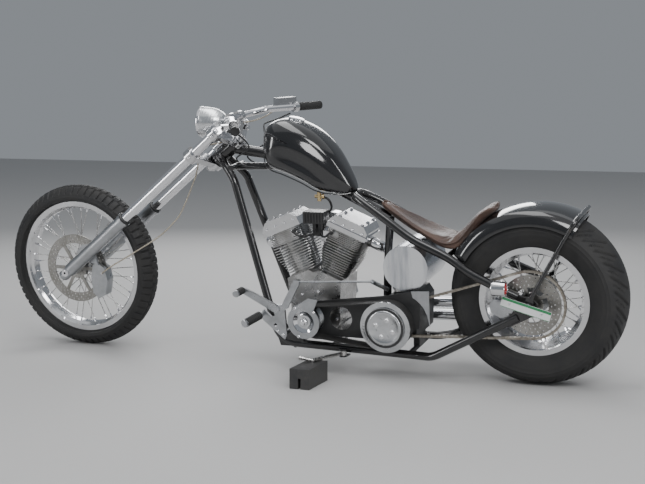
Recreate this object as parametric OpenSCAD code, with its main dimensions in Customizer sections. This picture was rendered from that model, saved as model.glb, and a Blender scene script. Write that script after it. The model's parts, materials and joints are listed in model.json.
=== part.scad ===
// Chopper motorcycle: long raked fork, swept tube frame, air-cooled V-twin and open belt primary.
// Millimetres. +X is forward, +Y is the rider's left, +Z is up. The motorcycle leans to its left
// on its side stand, whose foot rests on a small block. The origin is on the floor, at the middle
// of the space that it takes up.

/* [Wheels] */
// Distance between the two axles
wheelbase = 1970; // [1850:10:2200]
// Outer radius of the rear tyre
rear_tyre_r = 330; // [320:1:345]
// Width of the rear tyre
rear_tyre_w = 230; // [190:5:236]
// Radius over the rear rim's flanges
rear_rim_r = 204; // [180:1:225]
// Outer radius of the front tyre
front_tyre_r = 348; // [330:1:380]
// Width of the front tyre
front_tyre_w = 120; // [90:5:140]
// Radius over the front rim's flanges
front_rim_r = 282; // [260:1:300]
// Spokes in each wheel, a multiple of four
spoke_count = 40; // [32:4:48]
// Radius of a spoke
spoke_r = 1.8; // [1.5:0.1:2.2]
// Radius of the front axle
front_axle_r = 10; // [8:0.5:12.5]
// Radius of the rear axle
rear_axle_r = 12.7; // [10:0.1:14]
// Radius of the front brake disc
front_disc_r = 146; // [125:1:152]
// Radius of the drilled rear sprocket disc
sprocket_r = 112; // [95:1:118]

/* [Fork] */
// Angle of the fork from upright
rake = 51; // [42:0.5:54]
// Distance between the two fork legs
fork_gap = 250; // [220:2:280]
// Radius of a fork tube
fork_tube_r = 20.5; // [18:0.5:24]
// Radius of a slider
slider_r = 27; // [25:0.5:30]
// Length of a slider above the axle
slider_len = 373; // [300:1:420]
// Distance from the axle up the fork to the lower yoke's middle
lower_yoke_s = 799; // [700:1:900]
// Distance between the two yokes' middles
yoke_gap = 136; // [120:1:160]
// Distance of the steering axis behind the fork tubes
stem_offset = 60; // [50:1:75]
// Radius of the steering stem
stem_r = 12.5; // [11:0.5:15]

/* [Handlebar] */
// Half the handlebar's width
bar_half_w = 400; // [360:5:440]
// How far the grips come back from the clamp
bar_pull = 195; // [150:5:230]
// Radius of the handlebar tube
bar_r = 12.7; // [11:0.1:16]
// Length of a grip
grip_len = 112; // [95:1:130]
// Radius of a grip
grip_r = 17; // [15:0.5:20]

/* [Frame] */
// Radius of the main frame tubes
tube_r = 16; // [14:0.5:19]
// Height of the lower rails' middle above the floor
rail_z = 106; // [100:1:125]
// Half the distance between the lower rails
rail_y = 130; // [124:1:138]
// Half the distance between the rear axle plates' outer faces
plate_y = 176; // [172:1:190]
// Thickness of an axle plate
plate_t = 12; // [8:1:14]
// Lean to the left when parked, in degrees
lean = 6.6; // [5:0.2:9]

/* [Bodywork] */
// Half the tank's width
tank_half_w = 118; // [100:1:130]
// Half the seat's width at its widest
seat_half_w = 108; // [95:1:112]
// Gap between the rear tyre and the fender
fender_gap = 17; // [10:1:25]
// Thickness of the fender's sheet
fender_t = 3; // [2:0.5:4]
// Radius of the round oil tank
oil_tank_r = 88; // [75:1:92]
// Radius of the headlight's rim
headlight_r = 60; // [50:1:70]

/* [Engine] */
// Distance from the rear axle to the crankshaft
crank_x = 866; // [850:1:890]
// Height of the crankshaft above the floor
crank_z = 227; // [222:1:236]
// Distance from the crankshaft to the top of the crankcase decks
deck_s = 170; // [165:1:176]
// Length of the finned barrels
barrel_len = 132; // [120:1:140]
// Angle between the two cylinders
vee = 45; // [42:1:50]
// Number of fins on a barrel
fin_count = 13; // [8:1:15]
// Thickness of a fin
fin_t = 3; // [2:0.2:4]
// Distance from the rear axle to the clutch shaft
clutch_x = 535; // [525:1:545]
// Radius of the clutch drum's cover
clutch_r = 98; // [85:1:100]
// Radius of the engine pulley
pulley_r = 52; // [44:1:56]
// Thickness of the primary belt
belt_t = 6; // [4:1:8]
// Height of the drive chain's plates
chain_h = 15; // [12:1:16]

/* [Hidden] */
$fn = 64;

// Clearances: a slip fit, a turning fit, a gap beside a bearing, and room for what moves
slip = 0.1;
turning = 0.05;
belt_slip = 0.6;
side_gap = 1;
room = 5;
// How far the ball at a tube's bend stands over the tube
weld = 0.2;

// Both tyres touch the floor once the motorcycle leans on its rounded treads
rear_crown_r = 190;
front_crown_r = 62;
lean_drop = 1 - cos(lean);
rear_drop = rear_crown_r * lean_drop;
front_drop = front_crown_r * lean_drop;
rear_axle_z = rear_tyre_r;
front_axle_z = front_tyre_r + (front_drop - rear_drop) / cos(lean);
centre_x = (wheelbase + front_tyre_r - rear_tyre_r) / 2;
centre_y = 112.9;

// The fork's own directions: s runs up the fork, d runs square to it, up and forward
upper_yoke_s = lower_yoke_s + yoke_gap;
yoke_t = 34;
top_yoke_t = 28;
bar_s = upper_yoke_s + 56;
bar_d = 18;
function fork_at(s, d, y) = [wheelbase - s * sin(rake) + d * cos(rake), y,
    front_axle_z + s * cos(rake) + d * sin(rake)];
neck_low_s = lower_yoke_s + yoke_t / 2 + side_gap;
neck_high_s = upper_yoke_s - top_yoke_t / 2 - side_gap;
neck_r = 29;
neck_mid = fork_at((neck_low_s + neck_high_s) / 2, -stem_offset, 0);

// Places across the motorcycle, from its middle out to the left
chain_y0 = 131;
chain_y1 = 143;
plate_gap = 3;
primary_y0 = chain_y1 + plate_gap;
primary_t = 4;
belt_y0 = primary_y0 + primary_t + 3;
belt_y1 = belt_y0 + 54;
clutch_z = 229;
chain_r = sprocket_r + room + 1;
front_sprocket_r = 44;
hub_half = 123;
sprocket_y0 = chain_y0 + 2;
sprocket_y1 = chain_y1 - 2;
case_half_w = 90;
control_y = belt_y1 - 4;
control_t = 10;

function unit(v) = norm(v) == 0 ? v : v / norm(v);
function flip(p, side) = [p.x, p.y * side, p.z];
function polar(r, angle) = [r * cos(angle), r * sin(angle)];
// A smooth line through the points p, by the Catmull-Rom rule, with n steps between neighbours
function blend_at(a, b, c, d, t) = 0.5 * (2 * b + (c - a) * t + (2 * a - 5 * b + 4 * c - d) * t * t
    + (3 * b - a - 3 * c + d) * t * t * t);
function smooth_line(p, n) = let (k = len(p) - 1) concat([for (i = [0:k - 1], j = [0:n - 1])
    blend_at(p[max(i - 1, 0)], p[i], p[i + 1], p[min(i + 2, k)], j / n)], [p[k]]);
function smooth_loop(p, n) = let (k = len(p)) [for (i = [0:k - 1], j = [0:n - 1])
    blend_at(p[(i + k - 1) % k], p[i], p[(i + 1) % k], p[(i + 2) % k], j / n)];

// The whole motorcycle, leaning as it parks, over the row's origin
module parked() {
    translate([-centre_x, -centre_y, rear_drop]) rotate([-lean, 0, 0]) children();
}
module on_floor() {
    translate([-centre_x, -centre_y, 0]) children();
}
module on_fork() {
    translate([wheelbase, 0, front_axle_z]) rotate([0, -rake, 0]) children();
}
module at_rear_axle() {
    translate([0, 0, rear_axle_z]) children();
}
module at_front_axle() {
    translate([wheelbase, 0, front_axle_z]) children();
}
module both_sides() {
    children();
    mirror([0, 1, 0]) children();
}
// A round bar from a to b
module rod(a, b, r) {
    d = b - a;
    translate(a) rotate([0, acos(d.z / norm(d)), atan2(d.y, d.x)]) cylinder(r = r, h = norm(d));
}
// A round drum across the motorcycle, from y0 to y1
module drum(y0, y1, r) {
    translate([0, y0, 0]) rotate([-90, 0, 0]) cylinder(r = r, h = y1 - y0);
}
// A flat shape drawn in x and z, made solid from y0 to y1
module slab(y0, y1) {
    translate([0, y1, 0]) rotate([90, 0, 0]) linear_extrude(y1 - y0) children();
}
// A ring about the y axis: the drawing has the radius along x and y along y
module ring(angle = 360) {
    rotate([-90, 0, 0]) rotate_extrude(angle = angle) children();
}
// A path with each sharp corner cut into two, so that the line turns at about the bend radius
function eased(path, bend) = let (k = len(path) - 1) [for (i = [0:k])
    let (a = unit(path[i] - path[max(i - 1, 0)]), b = unit(path[min(i + 1, k)] - path[i]),
        turn = i == 0 || i == k ? 0 : acos(min(1, a * b)),
        back = bend * (tan(turn / 2) - tan(turn / 4)))
    each turn < 24 ? [path[i]] : [path[i] - back * a, path[i] + back * b]];
// A bent round tube along a path
module pipe(path, r, bend) {
    p = eased(path, bend);
    k = len(p) - 1;
    for (i = [0:k - 1]) rod(p[i], p[i + 1], r);
    for (i = [1:k - 1]) translate(p[i]) sphere(r + weld);
}
// A bent tube whose straight runs reach a little past each bend, so that they meet without a ball
module mitred_pipe(path, r, bend, past) {
    p = eased(path, bend);
    k = len(p) - 1;
    for (i = [0:k - 1]) {
        d = unit(p[i + 1] - p[i]);
        rod(p[i] - (i > 0 ? past : 0) * d, p[i + 1] + (i < k - 1 ? past : 0) * d, r);
    }
}
// A belt's side view: arcs of radius r1 about a and r2 about b, joined by the straight runs
module stadium(a, r1, b, r2) {
    open = acos((r1 - r2) / norm(b - a));
    dir = atan2(b.y - a.y, b.x - a.x);
    steps = 24;
    polygon(concat(
        [for (i = [0:steps]) a + polar(r1, dir + open + (360 - 2 * open) * i / steps)],
        [for (i = [0:steps]) b + polar(r2, dir - open + 2 * open * i / steps)]));
}

// ---- Wheels ----

// The cross-section of a hollow tyre: rounded tread, round shoulders, sides that end in beads
module tyre_section(r, w, crown_r, rim_r, rim_w, wall) {
    shoulder = w * 0.2;
    shoulder_x = r - crown_r + sqrt(pow(crown_r - shoulder, 2) - pow(w / 2 - shoulder, 2));
    bead_r = rim_r - 16 + bead_gap;
    bead_w = rim_w - 2 * rim_t - 2 * bead_gap;
    difference() {
        tyre_solid(r, w, crown_r, shoulder, shoulder_x, bead_r, bead_w);
        tyre_solid(r - wall, w - 2 * wall, crown_r - wall, shoulder - wall, shoulder_x,
            bead_r - wall, bead_w - 2 * wall);
        for (side = [-1, 1]) translate([0, side * (bead_w / 2 + 50)])
            square([2 * (rim_r + bead_gap), 100], center = true);
    }
}
module tyre_solid(r, w, crown_r, shoulder, shoulder_x, bead_r, bead_w) {
    touch = asin((w / 2 - shoulder) / (crown_r - shoulder));
    intersection() {
        translate([r - crown_r, 0]) circle(crown_r, $fn = 160);
        translate([bead_r, -crown_r * sin(touch)])
            square([r - bead_r + 1, 2 * crown_r * sin(touch)]);
        polygon([[bead_r, -bead_w / 2], [shoulder_x, -w / 2], [r + 1, -w / 2],
            [r + 1, w / 2], [shoulder_x, w / 2], [bead_r, bead_w / 2]]);
    }
    for (side = [-1, 1]) translate([shoulder_x, side * (w / 2 - shoulder)]) circle(shoulder);
    polygon([[bead_r, -bead_w / 2], [shoulder_x, -w / 2], [shoulder_x, w / 2],
        [bead_r, bead_w / 2]]);
}
// The cross-section of a rim: two flanges, a drop centre and a wall t thick
module rim_section(r, w, bed, t) {
    polygon([[r, -w / 2], [r, -w / 2 + t], [r - 16, -w / 2 + t], [r - 18, -w / 2 + 14],
        [bed, -w / 4], [bed, w / 4], [r - 18, w / 2 - 14], [r - 16, w / 2 - t], [r, w / 2 - t],
        [r, w / 2], [r - 20, w / 2], [r - 22, w / 2 - 12], [bed - t, w / 4 - 2],
        [bed - t, 2 - w / 4], [r - 22, 12 - w / 2], [r - 20, -w / 2]]);
}
// Crossed spokes from two hub flanges to the rim's bed
module spokes(flange_r, flange_y, bed_r) {
    pair = 360 * 4 / spoke_count;
    swing = 62;
    for (side = [-1, 1], i = [0:spoke_count / 4 - 1], lead = [-1, 1]) {
        start = i * pair + (side > 0 ? pair / 4 : 0);
        foot = start + lead * swing + (lead > 0 ? 0 : pair / 2);
        tip = start + (lead > 0 ? 0 : pair / 2);
        inner = polar(flange_r, foot);
        outer = polar(bed_r, tip);
        rod([inner.x, side * (flange_y + lead * 4), inner.y],
            [outer.x, side * (10 + lead * 4), outer.y], spoke_r);
    }
}
front_bed_r = front_rim_r - 27;
rear_bed_r = rear_rim_r - 34;
rear_rim_w = 190;
front_rim_w = 74;
rim_t = 4;
front_flange_r = 40;
front_flange_y = 30;
rear_flange_r = 52;
rear_flange_y = 62;
bead_gap = 0.2;

module front_tyre() {
    color([0.06, 0.06, 0.06]) parked() at_front_axle() ring()
        tyre_section(front_tyre_r, front_tyre_w, front_crown_r, front_rim_r, front_rim_w, 10);
}
module rear_tyre() {
    color([0.06, 0.06, 0.06]) parked() at_rear_axle() ring()
        tyre_section(rear_tyre_r, rear_tyre_w, rear_crown_r, rear_rim_r, rear_rim_w, 12);
}
module front_rim() {
    color([0.8, 0.8, 0.82]) parked() at_front_axle() ring()
        rim_section(front_rim_r, front_rim_w, front_bed_r, rim_t);
}
module rear_rim() {
    color([0.8, 0.8, 0.82]) parked() at_rear_axle() ring()
        rim_section(rear_rim_r, rear_rim_w, rear_bed_r, rim_t);
}
module front_spokes() {
    color([0.75, 0.75, 0.77]) parked() at_front_axle()
        spokes(front_flange_r - 5, front_flange_y, front_bed_r - rim_t + 1);
}
module rear_spokes() {
    color([0.75, 0.75, 0.77]) parked() at_rear_axle()
        spokes(rear_flange_r - 6, rear_flange_y, rear_bed_r - rim_t + 1);
}
// A hub: barrel, two flanges and a bore that turns on the axle
module hub(axle_r, barrel_r, half, flange_r, flange_y, flange_t) {
    difference() {
        union() {
            drum(-half, half, axle_r + 12);
            drum(-flange_y - flange_t / 2, flange_y + flange_t / 2, barrel_r);
            for (side = [-1, 1])
                drum(side * flange_y - flange_t / 2, side * flange_y + flange_t / 2, flange_r);
        }
        drum(-half - 1, half + 1, axle_r + turning);
    }
}
front_disc_y = 62;
front_disc_t = 5;
front_hub_half = 78;
module front_hub() {
    color([0.7, 0.7, 0.72]) parked() at_front_axle() difference() {
        hub(front_axle_r, 24, front_hub_half, front_flange_r, front_flange_y, 5);
        difference() {
            drum(front_disc_y - front_disc_t / 2 - slip, front_hub_half + 1, front_axle_r + 14);
            drum(front_disc_y - front_disc_t, front_hub_half + 2, front_axle_r + 10);
        }
    }
}
module rear_hub() {
    color([0.7, 0.7, 0.72]) parked() at_rear_axle()
        hub(rear_axle_r, 34, hub_half, rear_flange_r, rear_flange_y, 6);
}
// A drilled disc: a braking ring on arms, round a centre with a bore
module drilled_disc(r, inner_r, centre_r, bore_r, y0, y1, arms, rows) {
    difference() {
        union() {
            difference() {
                drum(y0, y1, r);
                drum(y0 - 1, y1 + 1, inner_r);
            }
            drum(y0, y1, centre_r);
            for (i = [0:arms - 1]) rotate([0, i * 360 / arms, 0])
                translate([centre_r - 4, y0, -7]) cube([inner_r - centre_r + 8, y1 - y0, 14]);
        }
        drum(y0 - 1, y1 + 1, bore_r);
        for (i = [0:arms * 6 - 1], j = [0:rows - 1])
            rotate([0, i * 60 / arms + j * 4, 0])
                translate([inner_r + (r - inner_r) * (j + 0.7) / (rows + 0.4), 0, 0])
                    drum(y0 - 1, y1 + 1, 3);
    }
}
module front_disc() {
    color([0.5, 0.5, 0.5]) parked() at_front_axle()
        drilled_disc(front_disc_r, front_disc_r - 38, 44, front_axle_r + 10 + slip,
            front_disc_y - front_disc_t / 2, front_disc_y + front_disc_t / 2, 6, 3);
}
module rear_sprocket() {
    color([0.6, 0.6, 0.58]) parked() at_rear_axle() {
        drilled_disc(sprocket_r, sprocket_r - 46, 46, rear_axle_r + turning, sprocket_y0,
            sprocket_y1, 5, 3);
        difference() {
            drum(hub_half + slip, sprocket_y0 + 1, 32);
            drum(hub_half - 1, sprocket_y1, rear_axle_r + turning);
        }
    }
}
caliper_y = 160;
hanger_t = 6;
module rear_axle() {
    color([0.75, 0.75, 0.76]) parked() at_rear_axle() difference() {
        union() {
            drum(-plate_y - 14, plate_y + 14, rear_axle_r);
            both_sides() drum(plate_y + slip, plate_y + 10, rear_axle_r + 9);
            drum(sprocket_y1 + side_gap, caliper_y - hanger_t - slip, rear_axle_r + 6);
            drum(caliper_y + slip, plate_y - plate_t - slip, rear_axle_r + 6);
            drum(-plate_y + plate_t + slip, -hub_half - side_gap, rear_axle_r + 6);
        }
        drum(-plate_y - 15, plate_y + 15, 6);
    }
}
// The rear caliper straddles the disc in front of the axle, on a hanger from it
module rear_caliper() {
    reach = sprocket_r + 8;
    color([0.7, 0.7, 0.7]) parked() at_rear_axle() difference() {
        union() {
            slab(caliper_y - hanger_t, caliper_y) difference() {
                union() {
                    circle(rear_axle_r + 12);
                    polygon([[0, -24], [reach, -34], [reach, 12], [0, 24]]);
                }
                circle(rear_axle_r + slip);
            }
            slab(chain_y0 - 22, caliper_y - hanger_t + 1)
                polygon([[74, -42], [104, -50], [142, -36], [150, -6], [132, 18], [86, 14]]);
        }
        drum(sprocket_y0 - room, sprocket_y1 + room, sprocket_r + room);
    }
}
module front_axle() {
    reach = fork_gap / 2 + slider_r;
    color([0.75, 0.75, 0.76]) parked() at_front_axle() difference() {
        union() {
            drum(-reach - 6, reach + 6, front_axle_r);
            both_sides() {
                drum(reach + slip, reach + 5, front_axle_r + 5);
                drum(front_hub_half + side_gap, fork_gap / 2 - slider_r - slip,
                    front_axle_r + 5);
            }
        }
        drum(-reach - 7, reach + 7, 5);
    }
}

// ---- Fork and steering ----

module fork_sliders() {
    color([0.62, 0.62, 0.64]) parked() on_fork() both_sides()
        translate([0, fork_gap / 2, 0]) difference() {
            union() {
                translate([0, 0, -26]) cylinder(r = slider_r - 4, h = 40);
                translate([0, 0, 8]) cylinder(r = slider_r, h = slider_len - 22);
                translate([0, 0, slider_len - 14]) cylinder(r = slider_r + 3, h = 14);
                translate([0, 0, -26]) sphere(slider_r - 4);
            }
            drum(-60, 60, front_axle_r + slip);
            translate([0, 0, slider_len - 120]) cylinder(r = fork_tube_r + slip, h = 200);
        }
}
module fork_tubes() {
    color([0.85, 0.85, 0.87]) parked() on_fork() both_sides()
        translate([0, fork_gap / 2, slider_len - 110])
            cylinder(r = fork_tube_r, h = upper_yoke_s + top_yoke_t / 2 + 8 - slider_len + 110);
}
// A yoke: two leg clamps joined by a bridge that carries the stem's boss
module yoke(s, t, boss_r) {
    translate([0, 0, s - t / 2]) difference() {
        union() {
            linear_extrude(t) for (side = [-1, 1]) translate([0, side * fork_gap / 2])
                circle(fork_tube_r + boss_r);
            translate([0, 0, t * 0.15]) linear_extrude(t * 0.7) {
                translate([-stem_offset, 0]) circle(stem_r + 22);
                for (side = [-1, 1]) polygon([[-stem_offset - 30, 0], [-stem_offset + 26, 0],
                    [fork_tube_r, side * fork_gap / 2], [-fork_tube_r - 4, side * fork_gap / 2]]);
            }
        }
        for (side = [-1, 1]) translate([0, side * fork_gap / 2, -1])
            cylinder(r = fork_tube_r + slip, h = t + 2);
    }
}
module steering_yokes() {
    color([0.68, 0.68, 0.7]) parked() on_fork() {
        yoke(lower_yoke_s, yoke_t, 11);
        yoke(upper_yoke_s, top_yoke_t, 9);
        translate([-stem_offset, 0, lower_yoke_s - yoke_t]) {
            cylinder(r = stem_r, h = yoke_gap + yoke_t + top_yoke_t / 2 + 12);
            translate([0, 0, 4]) cylinder(r = stem_r + 9, h = 14);
            translate([0, 0, 4]) sphere(stem_r + 5);
            translate([0, 0, yoke_gap + yoke_t + top_yoke_t / 2 - 2])
                cylinder(r = stem_r + 6, h = 14);
        }
        // Risers that hold the handlebar over the top yoke
        for (side = [-1, 1]) difference() {
            union() {
                translate([0, side * 38, 0]) slab(-13, 13)
                    polygon([[-52, upper_yoke_s], [-20, upper_yoke_s], [bar_d + 12, bar_s - 12],
                        [bar_d - 8, bar_s + 10]]);
                translate([bar_d, side * 38, bar_s]) drum(-13, 13, bar_r + 9);
            }
            translate([bar_d, side * 38, bar_s]) drum(-14, 14, bar_r + slip);
        }
    }
}
bar_at = fork_at(bar_s, bar_d, 0);
bar_sweep = [bar_at + [0, 92, 0], bar_at + [-64, 160, 13], bar_at + [-bar_pull, bar_half_w, 2]];
module handlebar() {
    color([0.8, 0.8, 0.82]) parked()
        mitred_pipe(concat([for (i = [2:-1:0]) flip(bar_sweep[i], -1)], bar_sweep), bar_r, 70, 2.2);
}
grip_dir = unit(bar_sweep[1] - bar_sweep[2]);
module grips() {
    color([0.08, 0.08, 0.08]) parked() for (side = [-1, 1]) {
        tip = flip(bar_sweep[2] - 4 * grip_dir, side);
        root = flip(bar_sweep[2] + grip_len * grip_dir, side);
        difference() {
            rod(tip, root, grip_r);
            rod(tip + 4 * flip(grip_dir, side), root + flip(grip_dir, side), bar_r + slip);
        }
    }
}
// A part that sits on the bar: its x axis runs along the bar to the tip
module on_bar(side, from_grip) {
    at = flip(bar_sweep[2] + (grip_len + from_grip) * grip_dir, side);
    dir = -flip(grip_dir, side);
    translate(at) rotate([0, -asin(dir.z), atan2(dir.y, dir.x)]) children();
}
// A hand lever: a clamp on the bar, a perch and a flat blade in front of the grip
module hand_lever(side) {
    difference() {
        union() {
            rotate([0, 90, 0]) translate([0, 0, -11]) cylinder(r = bar_r + 7, h = 22);
            translate([-12, side > 0 ? -46 : 12, -9]) cube([26, 34, 14]);
        }
        rotate([0, 90, 0]) translate([0, 0, -12]) cylinder(r = bar_r + slip, h = 24);
    }
    translate([0, 0, -8]) linear_extrude(8) polygon([for (p = [[-8, 30], [10, 34], [40, 50],
        [120, 46], [158, 54], [166, 60], [160, 66], [118, 58], [36, 64], [0, 50]])
        [p.x, -side * p.y]]);
}
module brake_master_cylinder() {
    color([0.7, 0.7, 0.72]) parked() on_bar(-1, 16) {
        hand_lever(-1);
        difference() {
            union() {
                translate([-78, 8, 10]) cube([92, 36, 30]);
                translate([-64, 14, -12]) cube([70, 24, 26]);
            }
            rotate([0, 90, 0]) translate([0, 0, -100]) cylinder(r = bar_r + slip, h = 200);
        }
    }
}
module clutch_lever() {
    color([0.7, 0.7, 0.72]) parked() on_bar(1, 16) hand_lever(1);
}
// The headlight: a bowl that opens forward, on a stalk from the top yoke
headlight_len = 104;
headlight_at = fork_at(upper_yoke_s - 28, 62, 0);
module on_headlight() {
    translate(headlight_at) rotate([0, 90, 0]) children();
}
module headlight() {
    wall = 3;
    stalk_foot = fork_at(upper_yoke_s - 6, -10, 0);
    color([0.78, 0.78, 0.8]) parked() {
        on_headlight() rotate_extrude() difference() {
            polygon(concat([[0, -headlight_len / 2]],
                [for (a = [8:8:88]) [headlight_r * pow(sin(a), 0.75),
                    headlight_len * (0.42 - 0.92 * cos(a))]],
                [[headlight_r, headlight_len / 2 - 8], [headlight_r, headlight_len / 2],
                [0, headlight_len / 2]]));
            polygon(concat([[0, wall - headlight_len / 2]],
                [for (a = [8:8:88]) [(headlight_r - wall) * pow(sin(a), 0.75),
                    headlight_len * (0.45 - 0.92 * cos(a))]],
                [[headlight_r - wall, headlight_len], [0, headlight_len]]));
        }
        difference() {
            rod(stalk_foot, headlight_at - [headlight_len / 2 - 14, 0, 0], 13);
            on_headlight() translate([0, 0, 12 - headlight_len / 2])
                cylinder(r = headlight_r * 0.5, h = headlight_len);
        }
    }
}
module headlight_lens() {
    color([0.9, 0.92, 0.95, 0.4]) parked() on_headlight()
        translate([0, 0, headlight_len / 2 - 7]) intersection() {
            cylinder(r = headlight_r - 3 - slip, h = 12);
            translate([0, 0, -190]) sphere(200, $fn = 128);
        }
}
// The front caliper hangs behind the near slider, on a plate
module front_caliper() {
    slot = front_disc_t / 2 + room;
    color([0.62, 0.62, 0.64]) parked() at_front_axle() difference() {
        union() {
            slab(front_disc_y - 24, front_disc_y + 26)
                polygon([[-96, 24], [-82, -30], [-88, -96], [-112, -122], [-146, -104],
                    [-160, -40], [-150, 10], [-124, 30]]);
            slab(front_disc_y + 26, fork_gap / 2 - slider_r - slip) {
                polygon([[-128, 26], [-80, 40], [-30, 78], [-60, 112], [-118, 62]]);
            }
            slab(fork_gap / 2 - slider_r - slip - 6, fork_gap / 2 - slider_r + 4)
                polygon([[-30, 78], [-60, 112], [-92, 116], [-70, 60]]);
        }
        drum(front_disc_y - slot, front_disc_y + slot, front_disc_r + room);
        translate([-wheelbase, 0, -front_axle_z]) on_fork() translate([0, fork_gap / 2, 0])
            cylinder(r = slider_r + slip, h = slider_len);
    }
}
// The brake hose's route from the caliper up to the bar, points chosen by hand
hose_route = [[1840, 84, 330], [1824, 97, 342], [1800, 96, 358], [1765, 90, 380],
    [1720, 84, 405], [1665, 78, 437], [1605, 70, 472], [1550, 62, 508], [1500, 56, 552],
    [1455, 50, 605], fork_at(690, -66, 44), fork_at(738, -40, 46), fork_at(775, -12, 50),
    fork_at(805, 4, 52), fork_at(840, 2, 46), fork_at(868, -12, 26), fork_at(884, -22, 0),
    fork_at(898, -16, -30), fork_at(915, -2, -54), fork_at(938, 6, -66), fork_at(965, 0, -74),
    fork_at(985, -14, -92), bar_at + [-38, -122, -24], bar_at + [-56, -158, -16],
    bar_at + [-66, -192, -6], bar_at + [-72, -222, 2], bar_at + [-80, -243, 8]];
hose_r = 3;
module tube_along(p, r, sides) {
    k = len(p) - 1;
    dirs = [for (i = [0:k]) unit(p[min(i + 1, k)] - p[max(i - 1, 0)])];
    sidewards = [for (d = dirs) unit(cross(d, [0.3, 0.2, 1]))];
    rings = [for (i = [0:k], j = [0:sides - 1]) p[i]
        + r * cos(j * 360 / sides) * sidewards[i]
        + r * sin(j * 360 / sides) * cross(dirs[i], sidewards[i])];
    polyhedron(rings, concat([[for (j = [0:sides - 1]) sides - 1 - j]],
        [[for (j = [0:sides - 1]) k * sides + j]],
        [for (i = [0:k - 1], j = [0:sides - 1]) let (q = (j + 1) % sides)
            [i * sides + j, i * sides + q, (i + 1) * sides + q, (i + 1) * sides + j]]));
}
module front_brake_hose() {
    color([0.75, 0.72, 0.66]) parked() tube_along(smooth_line(hose_route, 2), hose_r, 8);
}

// ---- Frame and bodywork ----

neck_low = fork_at(neck_low_s, -stem_offset, 0);
neck_high = fork_at(neck_high_s, -stem_offset, 0);
neck_dir = unit(neck_high - neck_low);
down_top = [neck_low.x - 16, 22, neck_low.z + 20];
down_bend = [neck_low.x - 94, 58, 746];
down_foot = [neck_low.x - 288, rail_y - 4, rail_z + 8];
backbone = [[neck_low.x - 48, 0, neck_low.z + 42], [neck_low.x - 250, 0, 838], [700, 0, 668],
    [574, 0, 600]];
backbone_r = 21;
upper_rail = [[716, 8, 690], [692, 58, 690], [453, 108, 547], [313, 136, 492], [228, 154, 445],
    [141, 165, 407], [40, plate_y - plate_t / 2, 366]];
lower_rail = [down_foot, [508, rail_y, rail_z - 2], [436, rail_y + 3, rail_z - 3],
    [370, rail_y + 30, rail_z + 4],
    [38, plate_y - plate_t / 2, 292]];
seat_post = [[574, 0, 606], [590, 0, 430], [606, 0, rail_z]];
fender_r = rear_tyre_r + fender_gap + fender_t;
fender_half = rear_tyre_w / 2 + 11;
fender_from = 29;
fender_to = 120;
// The stand's pivot, in floor coordinates: upright when parked, so the leg swings level
pivot = [725, 178];
leg_r = 7;
block_top = 75;
leg_z = block_top + leg_r + 0.3;
pin_r = 6;
eye_r = 13;
eye_h = 16;

module axle_plate() {
    slab(plate_y - plate_t, plate_y) difference() {
        union() {
            translate([0, rear_axle_z]) circle(34);
            polygon([[-10, rear_axle_z + 34], [96, 388], [84, 372], [34, 330], [90, 268],
                [70, 252], [-12, rear_axle_z - 34]]);
        }
        translate([0, rear_axle_z]) circle(rear_axle_r + slip);
    }
}
module front_frame() {
    cross_x = down_bend.x + 14;
    color([0.05, 0.05, 0.055]) parked() {
        difference() {
            union() {
                rod(neck_low - 4 * neck_dir, neck_high + 4 * neck_dir, neck_r);
                pipe(backbone, backbone_r, 120);
                both_sides() pipe([down_top, down_bend, down_foot], tube_r, 60);
                rod([cross_x, -58, 790], [cross_x, 58, 790], tube_r - 4);
                rod([cross_x, 0, 790], [neck_low.x - 330, 0, 795], tube_r - 2);
            }
            rod(neck_low - 70 * neck_dir, neck_high + 70 * neck_dir, stem_r + turning);
            rod(neck_low - 60 * neck_dir, neck_low, neck_r + 60);
            rod(neck_high, neck_high + 60 * neck_dir, neck_r + 60);
        }
        pipe(seat_post, tube_r, 60);
    }
}
module rear_frame() {
    color([0.05, 0.05, 0.055]) {
        parked() {
            both_sides() {
                pipe(upper_rail, tube_r, 70);
                pipe(lower_rail, tube_r, 60);
                axle_plate();
                control_lug();
            }
            for (x = concat([606], engine_bar_x))
                rod([x, -rail_y, rail_z], [x, rail_y, rail_z], tube_r - 4);
        }
        on_floor() stand_clevis();
    }
}
// The plate between downtube and rail that the foot controls bolt to
module control_lug() {
    slab(rail_y - 8, rail_y + 8)
        polygon([[down_foot.x + 14, rail_z + 70], [down_foot.x - 8, rail_z - 4],
            [900, rail_z - 2], [905, rail_z + 40], [935, rail_z + 84]]);
}
// Two ears on the left lower rail, with the pin that the side stand turns on
module stand_clevis() {
    for (up = [-1, 1]) translate([0, 0, leg_z + up * (eye_h / 2 + 0.5 + 3) - 3]) {
        translate([pivot.x, pivot.y, 0]) cylinder(r = eye_r + 2, h = 6);
        translate([pivot.x - eye_r - 2, pivot.y - 40, 0]) cube([2 * eye_r + 4, 40, 6]);
    }
    translate([pivot.x, pivot.y, leg_z - eye_h / 2 - 5]) cylinder(r = pin_r, h = eye_h + 10);
}
module side_stand() {
    start = [pivot.x, pivot.y, leg_z];
    elbow = [779, 350, leg_z];
    tip = [819, 368, leg_z + 10];
    out = unit(tip - elbow);
    color([0.75, 0.75, 0.76]) on_floor() {
        difference() {
            union() {
                translate([pivot.x, pivot.y, leg_z - eye_h / 2]) cylinder(r = eye_r, h = eye_h);
                rod(start, elbow + 4 * unit(elbow - start), leg_r);
            }
            translate([pivot.x, pivot.y, leg_z - eye_h])
                cylinder(r = pin_r + turning, h = 2 * eye_h);
        }
        rod(elbow - 3 * out, tip, leg_r - 1);
        rod(tip - 8 * out, tip + 9 * out, leg_r + 1.5);
    }
}
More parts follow.
